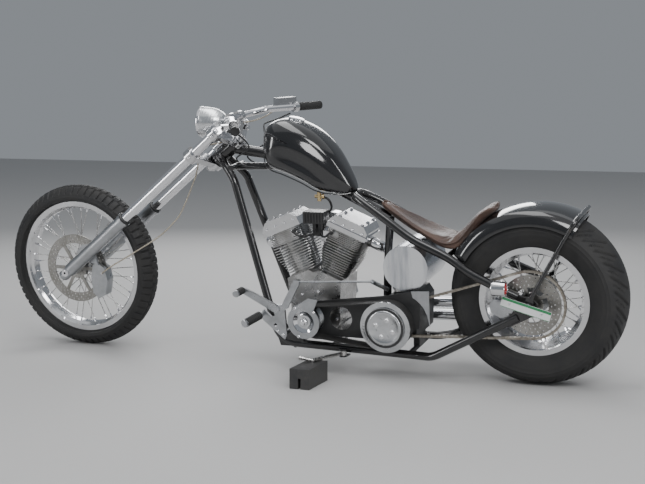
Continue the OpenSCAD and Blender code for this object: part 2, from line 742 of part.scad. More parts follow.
module stand_block() {
    block = [77, 180];
    foot_w = 33;
    slab_t = 35;
    color([0.12, 0.12, 0.13]) on_floor() translate([739, 303, 0]) {
        translate([0, 0, block_top - slab_t]) cube([block.x, block.y, slab_t]);
        for (x = [0, block.x - foot_w]) translate([x, 0, 0])
            cube([foot_w, block.y, block_top - slab_t]);
    }
}
// A plan with the same half-width on both sides, given as shares of a half-width along x
module outline_both(plan, half_w) {
    k = len(plan) - 1;
    polygon(concat([for (p = plan) [p.x, p.y * half_w]],
        [for (i = [0:k]) [plan[k - i].x, -plan[k - i].y * half_w]]));
}
// The tank: its side view, its plan and its hollow for the backbone
tank_side = [[1052, 820], [1064, 880], [1072, 930], [1044, 968], [985, 986], [915, 966],
    [848, 928], [788, 868], [748, 806], [716, 748], [708, 712], [736, 696], [800, 698],
    [850, 712], [902, 742], [970, 772], [1034, 794]];
tank_plan = [[1068, 0.62], [1040, 0.82], [980, 1], [900, 0.98], [830, 0.85], [770, 0.66],
    [716, 0.4], [700, 0]];
module fuel_tank() {
    plan = smooth_line(concat([[1076, 0]], tank_plan), 6);
    color([0.03, 0.03, 0.035]) parked() difference() {
        intersection() {
            slab(-tank_half_w, tank_half_w) polygon(smooth_loop(tank_side, 4));
            translate([0, 0, 650]) linear_extrude(400) outline_both(plan, tank_half_w);
        }
        pipe(backbone, backbone_r + slip, 120);
        rod([down_bend.x + 14, 0, 790], [neck_low.x - 330, 0, 795], tube_r - 2 + slip);
        both_sides() pipe(upper_rail, tube_r + slip, 70);
    }
}
module fuel_cap() {
    color([0.8, 0.8, 0.82]) parked() difference() {
        translate([950, 0, 966]) rotate([0, -16, 0]) cylinder(r = 32, h = 18);
        slab(-60, 60) polygon(smooth_loop(tank_side, 4));
    }
}
module fuel_tap() {
    color([0.78, 0.66, 0.4]) parked() difference() {
        union() {
            translate([840, 62, 672]) cylinder(r = 8, h = 60);
            translate([840, 62, 690]) rotate([0, 90, 0]) cylinder(r = 7, h = 34, center = true);
            translate([824, 62, 690]) rotate([0, 90, 20]) cylinder(r = 11, h = 8, center = true);
        }
        slab(-150, 150) polygon(smooth_loop(tank_side, 4));
    }
}
seat_side = [[604, 672], [560, 640], [500, 606], [430, 574], [365, 556], [318, 556], [280, 576],
    [240, 616], [206, 652], [176, 668], [150, 664], [146, 650], [180, 640], [240, 560],
    [280, 512], [330, 520], [400, 540], [470, 566], [540, 606], [600, 644]];
seat_plan = [[606, 0.3], [540, 0.52], [470, 0.74], [400, 0.9], [330, 1], [260, 1], [200, 0.94],
    [150, 0.7]];
module seat() {
    plan = smooth_line(seat_plan, 4);
    color([0.25, 0.16, 0.12]) parked() difference() {
        intersection() {
            slab(-seat_half_w, seat_half_w) polygon(smooth_loop(seat_side, 4));
            translate([0, 0, 480]) linear_extrude(220) outline_both(plan, seat_half_w);
        }
        at_rear_axle() drum(-200, 200, fender_r + 0.5);
        both_sides() pipe(upper_rail, tube_r + 0.5, 70);
        pipe(backbone, backbone_r + 0.5, 120);
        rod(flip(upper_rail[3], -1), upper_rail[3], tube_r - 5.5);
    }
}
// The fender's cross-section: a crowned top, round corners and straight skirts
module fender_outline(grow) {
    corner = 62;
    skirt = 62;
    r = fender_r + grow;
    half = fender_half + grow;
    intersection() {
        translate([r - 420, 0]) circle(420, $fn = 160);
        union() {
            translate([r - skirt - 3, -half]) square([skirt - corner + 3, 2 * half]);
            translate([r - corner - 1, corner - half]) square([corner + 1, 2 * (half - corner)]);
            for (side = [-1, 1]) translate([r - corner, side * (half - corner)]) circle(corner);
        }
    }
}
module rear_fender() {
    color([0.03, 0.03, 0.035]) parked() {
        rod(flip(upper_rail[3], -1) + [0, 12, 0], upper_rail[3] - [0, 12, 0], tube_r - 6);
        fender_shell();
    }
}
module fender_shell() {
    at_rear_axle() rotate([0, -fender_from, 0])
        mirror([0, 0, 1]) ring(fender_to - fender_from) difference() {
            intersection() {
                fender_outline(0);
                translate([fender_r - 64, -200]) square([80, 400]);
            }
            fender_outline(-fender_t);
        }
}
module fender_strut() {
    strut_r = 8;
    side_y = fender_half + strut_r + 2;
    lift = fender_r + strut_r - 0.5;
    foot = [-10, plate_y + strut_r + 2.4, rear_axle_z + 36];
    edge = polar(lift - 80, fender_to - 4);
    top = polar(lift, fender_to - 3);
    half = [foot, [edge.x, side_y, rear_axle_z + edge.y], [top.x, side_y, rear_axle_z + top.y]];
    color([0.05, 0.05, 0.055]) parked() {
        pipe(concat(half, [for (i = [2:-1:0]) flip(half[i], -1)]), strut_r, 44);
        both_sides() translate([0, 0, rear_axle_z]) difference() {
            slab(plate_y + 10 + slip, plate_y + 15) {
                circle(rear_axle_r + 8);
                polygon([[-20, 0], [20, 0], [2, 44], [-22, 44]]);
            }
            drum(0, 300, rear_axle_r + slip);
        }
    }
}
oil_tank_at = [480, 435];
module oil_tank() {
    half = 104;
    color([0.78, 0.78, 0.8]) parked() translate([oil_tank_at.x, 0, oil_tank_at.y]) difference() {
        union() {
            drum(-half, half, oil_tank_r);
            intersection() {
                drum(-half - 16, half + 16, oil_tank_r);
                for (side = [-1, 1]) translate([0, side * (half + 14 - 250), 0])
                    sphere(250, $fn = 128);
            }
        }
    }
}
module tail_light() {
    color([0.75, 0.1, 0.1]) parked() {
        translate([72, 212, 404]) rotate([0, 90, 0]) cylinder(r = 27, h = 54);
        rod([100, 212, 404], [100, 184, 393], 7);
    }
}
module number_plate() {
    color([0.95, 0.95, 0.95]) parked() {
        translate([2, 0, 334]) rotate([0, -15.5, 0]) translate([-92, 206, -18])
            cube([184, 2.5, 36]);
        rod([0, plate_y + 14 + slip, rear_axle_z], [0, 206, rear_axle_z], 6);
    }
}

// ---- Engine and drive ----

// Places things on a cylinder's own axis: z runs up the barrel from the crankshaft
module on_cylinder(side) {
    translate([crank_x, 0, crank_z]) rotate([0, side * vee / 2, 0]) children();
}
engine_bar_x = [crank_x - 76, crank_x + 76];
barrel_r = 50;
head_h = 46;
port_h = 24;
port_x = 86;
head_s = deck_s + barrel_len;
box_s = head_s + head_h;
box_h = 54;
module crankcase() {
    deck_half = 52;
    deck = deck_s * [sin(vee / 2), cos(vee / 2)];
    along = deck_half * [cos(vee / 2), -sin(vee / 2)];
    outer = [crank_x, crank_z] + deck + along;
    inner = [crank_x, crank_z] + deck - along * 0.9;
    color([0.66, 0.66, 0.68]) parked() difference() {
        union() {
            slab(-case_half_w, case_half_w) {
                translate([crank_x, crank_z]) circle(104);
                polygon([outer, inner, [crank_x, crank_z + deck_s - 4],
                    [2 * crank_x - inner.x, inner.y], [2 * crank_x - outer.x, outer.y],
                    [crank_x - 100, crank_z], [crank_x + 100, crank_z]]);
            }
            for (x = engine_bar_x) translate([x - 20, -60, rail_z + tube_r - 4])
                cube([40, 120, 60]);
            translate([crank_x, 0, crank_z]) drum(0, primary_y0 - slip, 62);
        }
        translate([crank_x, 0, crank_z]) drum(60, 300, 17 + slip);
    }
}
module cylinders() {
    pitch = (barrel_len - fin_t) / (fin_count - 1);
    color([0.72, 0.72, 0.74]) parked() for (side = [-1, 1]) on_cylinder(side)
        translate([0, 0, deck_s + slip]) {
            cylinder(r = barrel_r, h = barrel_len - slip);
            for (i = [0:fin_count - 1]) {
                half = 54 + 22 * min(1, 1.6 * (i + 1) / fin_count);
                translate([0, 0, i * pitch]) linear_extrude(fin_t) intersection() {
                    square(2 * half, center = true);
                    circle(half * 1.25);
                }
            }
        }
}
module cylinder_heads() {
    color([0.7, 0.7, 0.72]) parked() for (side = [-1, 1]) on_cylinder(side)
        translate([0, 0, head_s + slip]) {
            linear_extrude(head_h - slip) intersection() {
                square([160, 150], center = true);
                circle(92);
            }
            translate([side * 60, -30, port_h]) rotate([0, side * 90, 0])
                cylinder(r = 21, h = port_x - 60);
        }
}
module rocker_boxes() {
    color([0.78, 0.78, 0.8]) parked() for (side = [-1, 1]) on_cylinder(side)
        translate([0, 0, box_s + slip]) {
            linear_extrude(18) square([168, 156], center = true);
            translate([0, 0, 18]) rotate([90, 0, 0]) translate([0, 0, -72]) linear_extrude(144)
                polygon([[-80, 0], [80, 0], [80, 14], [58, box_h - 18], [-58, box_h - 18],
                    [-80, 14]]);
        }
}
module cam_cover() {
    color([0.74, 0.74, 0.76]) parked() translate([crank_x, 0, crank_z]) {
        slab(-case_half_w - 34, -case_half_w - slip) {
            circle(56);
            polygon([[-92, 84], [92, 84], [100, 40], [60, -40], [-60, -40], [-100, 40]]);
        }
        for (x = [-52, 52]) translate([x - 20, -case_half_w - 34, 84]) cube([40, 33.9, 26]);
    }
}
module pushrod_tubes() {
    color([0.85, 0.85, 0.87]) parked() for (side = [-1, 1], off = [-1, 1])
        rod([crank_x + side * 52 + off * 9, -case_half_w - 17, crank_z + 113],
            [crank_x + side * (head_s * sin(vee / 2) - 8) + off * 24, -case_half_w + 2,
                crank_z + head_s * cos(vee / 2) + 10], 8);
}
module air_cleaner() {
    at = [crank_x, 0, crank_z + 292];
    color([0.75, 0.75, 0.77]) parked() translate(at) {
        drum(-170, -128, 70);
        drum(-129, -20, 24);
        slab(-60, -20) square([60, 34], center = true);
    }
}
module exhaust_pipes() {
    r = 22;
    port = head_s + slip + port_h;
    out = [cos(vee / 2), 0, -sin(vee / 2)];
    flipped = [-out.x, 0, out.z];
    front = [crank_x + port * sin(vee / 2), -30, crank_z + port * cos(vee / 2)]
        + (port_x + slip) * out;
    rear = [2 * crank_x - front.x, -30, front.z];
    color([0.7, 0.7, 0.72]) parked() {
        difference() {
            union() {
                pipe([front, front + 36 * out, [1030, -146, 436], [985, -152, 262],
                    [900, -152, 190], [820, -152, 172], [420, -198, 172], [190, -208, 172]], r, 14);
                pipe([rear, rear + 36 * flipped, [640, -146, 436], [600, -152, 262],
                    [530, -162, 232], [250, -198, 232]], r, 14);
            }
            rod([250, -205.4, 172], [150, -209.7, 172], r - 3);
            rod([310, -190.3, 232], [210, -203.1, 232], r - 3);
        }
    }
}
module coil_box() {
    color([0.1, 0.1, 0.11]) parked() {
        translate([813, 36, 588]) cube([86, 60, 46]);
        for (i = [0:6]) translate([817 + i * 12, 34, 592]) cube([5, 66, 38]);
        translate([838, 44, 560]) cube([14, 14, 30]);
        translate([862, 44, 560]) cube([14, 14, 30]);
        translate([crank_x - 18, 20, crank_z + 300]) cube([36, 18, 60]);
    }
}
module primary_plate() {
    color([0.6, 0.6, 0.62]) parked() slab(primary_y0, primary_y0 + primary_t) difference() {
        union() {
            translate([crank_x, crank_z]) circle(66);
            translate([clutch_x, clutch_z]) circle(70);
            polygon([[crank_x, crank_z - 66], [crank_x - 10, crank_z + 66],
                [clutch_x, clutch_z + 108], [470, 352], [414, 360], [420, 216],
                [clutch_x - 60, clutch_z - 40], [clutch_x, clutch_z - 70]]);
        }
        translate([crank_x, crank_z]) circle(30);
        translate([clutch_x, clutch_z]) circle(36);
        translate([crank_x - 130, crank_z + 6]) circle(46);
    }
}
module engine_pulley() {
    color([0.6, 0.6, 0.62]) parked() translate([crank_x, 0, crank_z]) difference() {
        union() {
            drum(62, belt_y1 + 8, 17);
            drum(belt_y0, belt_y1, pulley_r);
            drum(belt_y0 - 3, belt_y0, pulley_r + 9);
            drum(belt_y1, belt_y1 + 4, 26);
        }
        difference() {
            drum(belt_y1 - 16, belt_y1 + 1, pulley_r - 6);
            drum(belt_y1 - 20, belt_y1 + 2, 26);
        }
    }
}
module pulley_guard() {
    color([0.72, 0.72, 0.74]) parked() {
        slab(belt_y1 + 2, belt_y1 + 8) difference() {
            union() {
                translate([crank_x, crank_z]) circle(pulley_r + 14);
                polygon([[crank_x - 40, crank_z + 40], [crank_x - 64, crank_z + 92],
                    [crank_x - 24, crank_z + 96], [crank_x + 34, crank_z + 58]]);
            }
            translate([crank_x, crank_z]) circle(pulley_r - 8);
        }
        for (a = [60, 290]) {
            p = polar(pulley_r + belt_t + 8, a);
            translate([crank_x + p.x, 0, crank_z + p.y])
                drum(primary_y0 + primary_t + slip, belt_y1 + 4, 4);
        }
    }
}
module primary_belt() {
    color([0.08, 0.08, 0.08]) parked() slab(belt_y0 + 1, belt_y1 - 2) difference() {
        stadium([crank_x, crank_z], pulley_r + belt_t, [clutch_x, clutch_z], clutch_r - 4);
        stadium([crank_x, crank_z], pulley_r + belt_slip, [clutch_x, clutch_z],
            clutch_r - 4 - belt_t + belt_slip);
    }
}
module clutch_drum() {
    color([0.75, 0.75, 0.77]) parked() translate([clutch_x, 0, clutch_z]) difference() {
        union() {
            drum(belt_y0, belt_y1, clutch_r - 4 - belt_t);
            drum(belt_y1, belt_y1 + 6, clutch_r);
            drum(belt_y1, belt_y1 + 16, clutch_r - 20);
            for (i = [0:3]) rotate([0, 20 + 90 * i, 0]) translate([34, 0, 0])
                drum(belt_y1 + 10, belt_y1 + 19, 5);
        }
        drum(0, belt_y0 + 30, 20 + slip);
    }
}
module gearbox() {
    color([0.3, 0.3, 0.31]) parked() {
        slab(-96, 118) polygon([[444, 168], [576, 160], [576, 300], [548, 328], [456, 330],
            [436, 300]]);
        translate([clutch_x, 0, clutch_z]) {
            drum(100, belt_y0 + 30, 20);
            drum(chain_y0, chain_y1, front_sprocket_r);
        }
        translate([470, 60, 326]) cube([60, 50, 16]);
        for (x = [470, 550]) translate([x - 12, -40, rail_z + 2]) cube([24, 80, 60]);
        for (x = [470, 550])
            rod([x, -rail_y + tube_r + 0.5, rail_z], [x, rail_y - tube_r - 0.5, rail_z], 10);
    }
}
module drive_chain() {
    color([0.55, 0.52, 0.46]) parked() slab(chain_y0, chain_y1) difference() {
        stadium([0, rear_axle_z], chain_r + chain_h, [clutch_x, clutch_z],
            front_sprocket_r + belt_slip + chain_h);
        stadium([0, rear_axle_z], chain_r, [clutch_x, clutch_z], front_sprocket_r + belt_slip);
    }
}
// A foot control: a bracket plate on two standoffs, a peg, and a pedal that turns on the bracket
module foot_control(pedal) {
    peg_at = [1034, 252];
    boss = [968, 276];
    slab(control_y, control_y + control_t) difference() {
        polygon([[1044, 250], [1030, 266], [1000, 240], [985, 244], [990, 288], [956, 292],
            [942, 268], [938, 170], [948, 152], [1034, 222]]);
        translate([984, 208]) circle(6);
    }
    for (p = [[952, 172], [974, 186]]) translate([p.x, 0, p.y])
        drum(rail_y + 8, control_y, 9);
    translate([peg_at.x, 0, peg_at.y]) {
        drum(control_y + control_t, control_y + 44, 10);
        rod([0, control_y + 40, 0], [26, control_y + 128, -12], 15);
    }
    translate([boss.x, 0, boss.y]) drum(control_y + control_t, control_y + 34, 14);
    slab(control_y + 20, control_y + 30) polygon(concat([[978, 264], [1106, 330], [1118, 348],
        [1108, 358], [1092, 350], [964, 292]]));
    translate([1108, 0, 345]) drum(control_y + 30, control_y + 90, 13);
    if (pedal == "shift") slab(control_y + 20, control_y + 30)
        polygon([[980, 278], [962, 292], [944, 296], [926, 330], [908, 362], [888, 398],
            [868, 396], [868, 380], [884, 352], [902, 318], [920, 284], [954, 262]]);
}
module left_foot_control() {
    rod_y = control_y + 15;
    color([0.66, 0.66, 0.68]) parked() {
        foot_control("shift");
        rod([880, rod_y, 387], [592, rod_y - 40, 394], 4);
        translate([878, 0, 388]) drum(rod_y - 8, control_y + 20, 8);
        pipe([[592, rod_y - 40, 394], [592, rod_y - 70, 380], [560, 96, 344]], 8, 12);
    }
}
module right_foot_control() {
    color([0.66, 0.66, 0.68]) parked() mirror([0, 1, 0]) foot_control("brake");
}

front_frame();
rear_frame();
fuel_tank();
fuel_cap();
fuel_tap();
seat();
rear_fender();
fender_strut();
crankcase();
cylinders();
cylinder_heads();
rocker_boxes();
cam_cover();
pushrod_tubes();
air_cleaner();
exhaust_pipes();
coil_box();
primary_plate();
engine_pulley();
pulley_guard();
primary_belt();
clutch_drum();
gearbox();
drive_chain();
oil_tank();
left_foot_control();
right_foot_control();
stand_block();
tail_light();
number_plate();
rear_caliper();
rear_axle();
steering_yokes();
fork_tubes();
fork_sliders();
front_axle();
front_caliper();
front_brake_hose();
headlight();
headlight_lens();
handlebar();
grips();
brake_master_cylinder();
clutch_lever();
front_tyre();
front_rim();
front_spokes();
front_hub();
front_disc();
rear_tyre();
rear_rim();
rear_spokes();
rear_hub();
rear_sprocket();
side_stand();
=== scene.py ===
"""Studio scene of a long-fork chopper motorcycle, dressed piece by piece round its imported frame."""

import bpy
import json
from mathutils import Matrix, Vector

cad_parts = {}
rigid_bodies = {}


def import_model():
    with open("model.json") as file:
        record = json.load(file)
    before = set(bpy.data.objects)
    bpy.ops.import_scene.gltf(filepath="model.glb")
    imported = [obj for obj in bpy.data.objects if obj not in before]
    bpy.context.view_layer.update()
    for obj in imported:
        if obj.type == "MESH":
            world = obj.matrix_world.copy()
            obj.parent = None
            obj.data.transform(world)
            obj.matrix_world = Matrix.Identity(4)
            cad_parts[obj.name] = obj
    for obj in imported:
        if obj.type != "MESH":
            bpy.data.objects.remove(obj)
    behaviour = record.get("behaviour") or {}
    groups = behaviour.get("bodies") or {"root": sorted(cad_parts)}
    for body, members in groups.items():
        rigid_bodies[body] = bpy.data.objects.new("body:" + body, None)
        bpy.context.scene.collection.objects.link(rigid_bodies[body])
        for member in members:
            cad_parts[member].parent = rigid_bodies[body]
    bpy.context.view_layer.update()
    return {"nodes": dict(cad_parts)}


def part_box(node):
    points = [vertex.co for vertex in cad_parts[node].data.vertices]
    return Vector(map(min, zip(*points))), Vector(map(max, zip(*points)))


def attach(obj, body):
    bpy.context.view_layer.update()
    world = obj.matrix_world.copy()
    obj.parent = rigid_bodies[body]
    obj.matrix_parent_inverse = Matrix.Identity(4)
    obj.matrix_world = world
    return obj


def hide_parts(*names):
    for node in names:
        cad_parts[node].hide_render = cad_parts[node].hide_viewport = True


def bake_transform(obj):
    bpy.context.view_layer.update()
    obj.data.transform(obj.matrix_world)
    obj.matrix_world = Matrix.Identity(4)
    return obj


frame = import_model()

import json
import logging
import math
from collections.abc import Callable
from dataclasses import dataclass, field
from enum import Enum

import bmesh
import bpy
import numpy as np
from mathutils import Euler, Vector
from mathutils.bvhtree import BVHTree

Array = np.ndarray
Colour = tuple[float, float, float]
log = logging.getLogger("chopper")
MM = 0.001


# ---------------------------------------------------------------------------------------------
# Shapes: whole-array surfaces
# ---------------------------------------------------------------------------------------------

@dataclass(frozen=True)
class Stance:
    """The motorcycle's own millimetre frame (rear axle foot, forward, left, up), leaning as it parks."""

    lean: float = math.radians(6.6)
    centre_x: float = 994.0
    centre_y: float = 112.9
    lift: float = 190.0 * (1.0 - math.cos(math.radians(6.6)))

    def place(self, points: Array) -> Array:
        """Turn points about the x axis by the lean, then move them over the row frame.

        Args:
            points: (..., 3) positions in the motorcycle's own frame, in millimetres.

        Returns:
            The same positions in the row frame, in metres.
        """
        p = np.asarray(points, dtype=float)
        c, s = math.cos(self.lean), math.sin(self.lean)
        x, y, z = p[..., 0], p[..., 1], p[..., 2]
        return np.stack([x - self.centre_x, y * c + z * s - self.centre_y,
                         z * c - y * s + self.lift], axis=-1) * MM

    def stand(self, points: Array) -> Array:
        """Points of upright things on the floor, in millimetres, placed in the row frame."""
        p = np.asarray(points, dtype=float)
        return (p - np.array([self.centre_x, self.centre_y, 0.0])) * MM


STANCE = Stance()


@dataclass(frozen=True)
class Fork:
    """The fork's own directions: s runs up the legs from the axle, d square to them, forward and up."""

    wheelbase: float = 1970.0
    rake: float = math.radians(51.0)
    axle_z: float = 348.0 - 128.0 * (1.0 - math.cos(math.radians(6.6))) / math.cos(math.radians(6.6))

    def at(self, s: float, d: float, y: float) -> tuple[float, float, float]:
        """A place s up the fork and d in front of it."""
        return (self.wheelbase - s * math.sin(self.rake) + d * math.cos(self.rake), y,
                self.axle_z + s * math.cos(self.rake) + d * math.sin(self.rake))


FORK = Fork()


@dataclass
class Shell:
    """Vertices and faces of one or more closed surfaces, in millimetres until they are placed."""

    verts: Array
    faces: list[list[int]]

    def __add__(self, other: "Shell") -> "Shell":
        """Both surfaces in one shell."""
        base = len(self.verts)
        return Shell(np.vstack([self.verts, other.verts]),
                     self.faces + [[i + base for i in f] for f in other.faces])

    def moved(self, change: Callable[[Array], Array]) -> "Shell":
        """The shell with change applied to its whole array of vertices."""
        return Shell(change(self.verts), self.faces)


def join(shells: list[Shell]) -> Shell:
    """All the shells as one, with face numbers shifted by the vertices before them."""
    counts = np.cumsum([0] + [len(s.verts) for s in shells])
    faces: list[list[int]] = []
    for base, shell in zip(counts, shells):
        faces += [(np.asarray(f) + base).tolist() for f in shell.faces]
    return Shell(np.vstack([s.verts for s in shells]), faces)


def loft(rings: Array, closed: bool = False) -> Shell:
    """A surface through rings of points: ring i, point j is joined to its four neighbours.

    Args:
        rings: (n, m, 3) points, each ring closed on itself.
        closed: True if the last ring joins the first, as round a wheel.

    Returns:
        The closed surface, with a flat cap over each end ring unless the rings form a loop.
    """
    n, m = rings.shape[:2]
    i = np.arange(n if closed else n - 1)[:, None]
    j = np.arange(m)[None, :]
    a, b = i * m + j, i * m + (j + 1) % m
    c, d = ((i + 1) % n) * m + (j + 1) % m, ((i + 1) % n) * m + j
    faces = np.stack([a, b, c, d], axis=-1).reshape(-1, 4).tolist()
    if not closed:
        faces += [list(range(m))[::-1], list(range((n - 1) * m, n * m))]
    return Shell(rings.reshape(-1, 3), faces)


def smooth_path(points: list, steps: int) -> Array:
    """A Catmull-Rom line: each span is a cubic through its two ends, guided by their neighbours."""
    p = np.asarray(points, dtype=float)
    q = np.vstack([2 * p[0] - p[1], p, 2 * p[-1] - p[-2]])
    t = (np.arange(steps) / steps)[None, :, None]
    a, b, c, d = (q[k:len(q) - 3 + k, None, :] for k in range(4))
    line = 0.5 * (2 * b + (c - a) * t + (2 * a - 5 * b + 4 * c - d) * t ** 2
                  + (3 * b - a - 3 * c + d) * t ** 3)
    return np.vstack([line.reshape(-1, p.shape[1]), p[-1]])


def bent_path(points: list, radius: float, steps: int = 9) -> Array:
    """Straight runs joined by bends: each corner gives way to a quadratic curve that touches both runs.

    Args:
        points: the corners, end to end.
        radius: the bend's radius, where the runs are long enough for it.
        steps: points along a bend.

    Returns:
        The points of the whole path.
    """
    p = np.asarray(points, dtype=float)
    line = [p[0]]
    t = np.linspace(0.0, 1.0, steps)[:, None]
    for before, corner, after in zip(p[:-2], p[1:-1], p[2:]):
        a, b = before - corner, after - corner
        la, lb = np.linalg.norm(a), np.linalg.norm(b)
        turn = math.pi - math.acos(float(np.clip(a @ b / (la * lb), -1, 1)))
        back = min(radius * math.tan(turn / 2) * 1.2, 0.48 * la, 0.48 * lb)
        start, end = corner + a / la * back, corner + b / lb * back
        line.append((1 - t) ** 2 * start + 2 * t * (1 - t) * corner + t ** 2 * end)
    line.append(p[-1])
    return np.vstack(line)


def tube(path: Array, radius: float | Array, sides: int = 24) -> Shell:
    """A round tube: at each point of the path, a circle in the plane square to the path's direction.

    Args:
        path: the middle line.
        radius: one radius, or one for each point.
        sides: points round the tube.

    Returns:
        The tube with flat ends.
    """
    path = np.asarray(path, dtype=float)
    ahead = np.vstack([path[1:], path[-1:]]) - np.vstack([path[:1], path[:-1]])
    ahead /= np.linalg.norm(ahead, axis=1, keepdims=True)
    hint = np.array([0.31, 0.17, 0.94]) if abs(ahead[:, 2]).max() < 0.985 else np.array([0.2, 0.97, 0.1])
    side = np.cross(ahead, hint)
    side /= np.linalg.norm(side, axis=1, keepdims=True)
    up = np.cross(ahead, side)
    angle = np.linspace(0, 2 * math.pi, sides, endpoint=False)
    r = np.broadcast_to(np.asarray(radius, dtype=float), (len(path),))[:, None, None]
    rings = path[:, None] + r * (np.cos(angle)[None, :, None] * side[:, None]
                                 + np.sin(angle)[None, :, None] * up[:, None])
    return loft(rings)


def hollow_tube(path: Array, radius: float, wall: float, sides: int = 32) -> Shell:
    """A tube whose rings run along the outside, turn in over the lip and end short inside it."""
    path = np.asarray(path, dtype=float)
    back = path[::-1][:4]
    line = np.vstack([path, path[-1:], back])
    inner = radius - wall
    r = np.concatenate([np.full(len(path), radius), [radius - wall / 2], np.full(4, inner)])
    outside = tube(path, radius, sides).verts.reshape(len(path), sides, 3)
    centre = line[:, None]
    unit = (outside - path[:, None]) / radius
    rings = np.concatenate([unit, unit[-1:], unit[::-1][:4]]) * r[:, None, None] + centre
    return loft(rings)


def spin(profile: Array, segments: int, y_axis_at: tuple[float, float]) -> Shell:
    """A closed profile of (radius, y) carried round the y axis through (x, z)."""
    angle = np.linspace(0, 2 * math.pi, segments, endpoint=False)
    rho, y = profile[None, :, 0], profile[None, :, 1]
    rings = np.stack([y_axis_at[0] + rho * np.cos(angle)[:, None],
                      np.broadcast_to(y, (segments, len(profile))),
                      y_axis_at[1] + rho * np.sin(angle)[:, None]], axis=-1)
    return loft(rings, closed=True)


def turn(profile: list, middle_line: tuple[float, float], segments: int = 72) -> Shell:
    """A closed profile of (x, radius) carried round the line along x through (y, z)."""
    p = np.asarray(profile, dtype=float)
    angle = np.linspace(0, 2 * math.pi, segments, endpoint=False)[:, None]
    rings = np.stack([np.broadcast_to(p[:, 0], (segments, len(p))),
                      middle_line[0] - p[:, 1] * np.cos(angle),
                      middle_line[1] + p[:, 1] * np.sin(angle)], -1)
    return loft(rings, closed=True)


def plate(outline: list, y0: float, y1: float) -> Shell:
    """A flat plate: an outline in x and z, carried from y0 to y1."""
    o = np.asarray(outline, dtype=float)
    rings = np.stack([np.column_stack([o[:, 0], np.full(len(o), y), o[:, 1]]) for y in (y0, y1)])
    return loft(rings)


def prisms(centres: Array, axis: Array, radius: float, height: float, sides: int = 6,
           dome: float = 0.0) -> Shell:
    """Many short round or hexagonal studs: a bottom ring, a top ring and a smaller ring dome above it."""
    axis = np.asarray(axis, dtype=float)
    axis = axis / np.linalg.norm(axis)
    side = np.cross(axis, [0.3, 0.2, 0.93])
    side /= np.linalg.norm(side)
    up = np.cross(axis, side)
    angle = np.linspace(0, 2 * math.pi, sides, endpoint=False)
    circle = np.cos(angle)[:, None] * side + np.sin(angle)[:, None] * up
    levels = [(1.0, 0.0), (1.0, height * 0.8), (0.82, height), (0.4, height + dome)]
    ring = np.stack([radius * k * circle + h * axis for k, h in levels])
    return join([loft(ring + np.asarray(c, dtype=float)) for c in np.asarray(centres)])


class Edge(Enum):
    """How a piece's faces meet."""

    SMOOTH = 180.0
    CREASED = 35.0
    CRISP = 20.0


def make_object(name: str, shell: Shell, edge: Edge = Edge.CREASED, bevel: float = 0.0,
                subdivide: int = 0) -> bpy.types.Object:
    """Put a shell, already in the row frame, into a new object with outward faces.

    Args:
        name: the piece's name.
        shell: vertices and faces, in metres.
        edge: how faces meet.
        bevel: width of a rounded edge, in metres, or 0.
        subdivide: levels of subdivision.

    Returns:
        The object, at the origin.
    """
    mesh = bpy.data.meshes.new(name)
    mesh.from_pydata(shell.verts.tolist(), [], shell.faces)
    work = bmesh.new()
    work.from_mesh(mesh)
    bmesh.ops.remove_doubles(work, verts=work.verts, dist=1e-6)
    bmesh.ops.dissolve_degenerate(work, edges=work.edges, dist=1e-7)
    bmesh.ops.recalc_face_normals(work, faces=work.faces)
    work.to_mesh(mesh)
    work.free()
    mesh.validate()
    obj = bpy.data.objects.new(name, mesh)
    bpy.context.scene.collection.objects.link(obj)
    mesh.shade_smooth()
    if edge is not Edge.SMOOTH:
        mesh.set_sharp_from_angle(angle=math.radians(edge.value))
    if bevel:
        mod = obj.modifiers.new("edge", "BEVEL")
        mod.width, mod.segments, mod.limit_method = bevel, 2, "ANGLE"
        mod.angle_limit = math.radians(38)
        mod.harden_normals = True
    if subdivide:
        mod = obj.modifiers.new("smooth", "SUBSURF")
        mod.levels = mod.render_levels = subdivide
    return obj


# ---------------------------------------------------------------------------------------------
# Finishes: node groups for effects, one material per finish
# ---------------------------------------------------------------------------------------------

class Grain(Enum):
    """What the surface's own fine relief is made of."""

    NONE = "none"
    CAST = "cast"
    BRUSHED = "brushed"
    SPUN = "spun"
    HIDE = "hide"
    RUBBER = "rubber"


@dataclass(frozen=True)
class Finish:
    """One finish: two colours that mix in patches, how it shines, and its fine relief."""

    name: str
    base: Colour
    # Second colour: wear and random tone, and on the oil tank the dark band of painted reflection streaks.
    worn: Colour
    metallic: float = 0.0
    roughness: float = 0.5
    rough_swing: float = 0.1
    patch_scale: float = 6.0
    patch_contrast: float = 0.2
    grain: Grain = Grain.NONE
    grain_scale: float = 300.0
    grain_depth: float = 0.0
    stretch: tuple[float, float, float] = (1.0, 1.0, 1.0)
    coat: float = 0.0
    coat_roughness: float = 0.03
    dirt: float = 0.0
    dirt_colour: Colour = (0.16, 0.12, 0.08)
    specular: float = 0.5
    transmission: float = 0.0
    alpha: float = 1.0
    anisotropic: float = 0.0
    sheen: float = 0.0


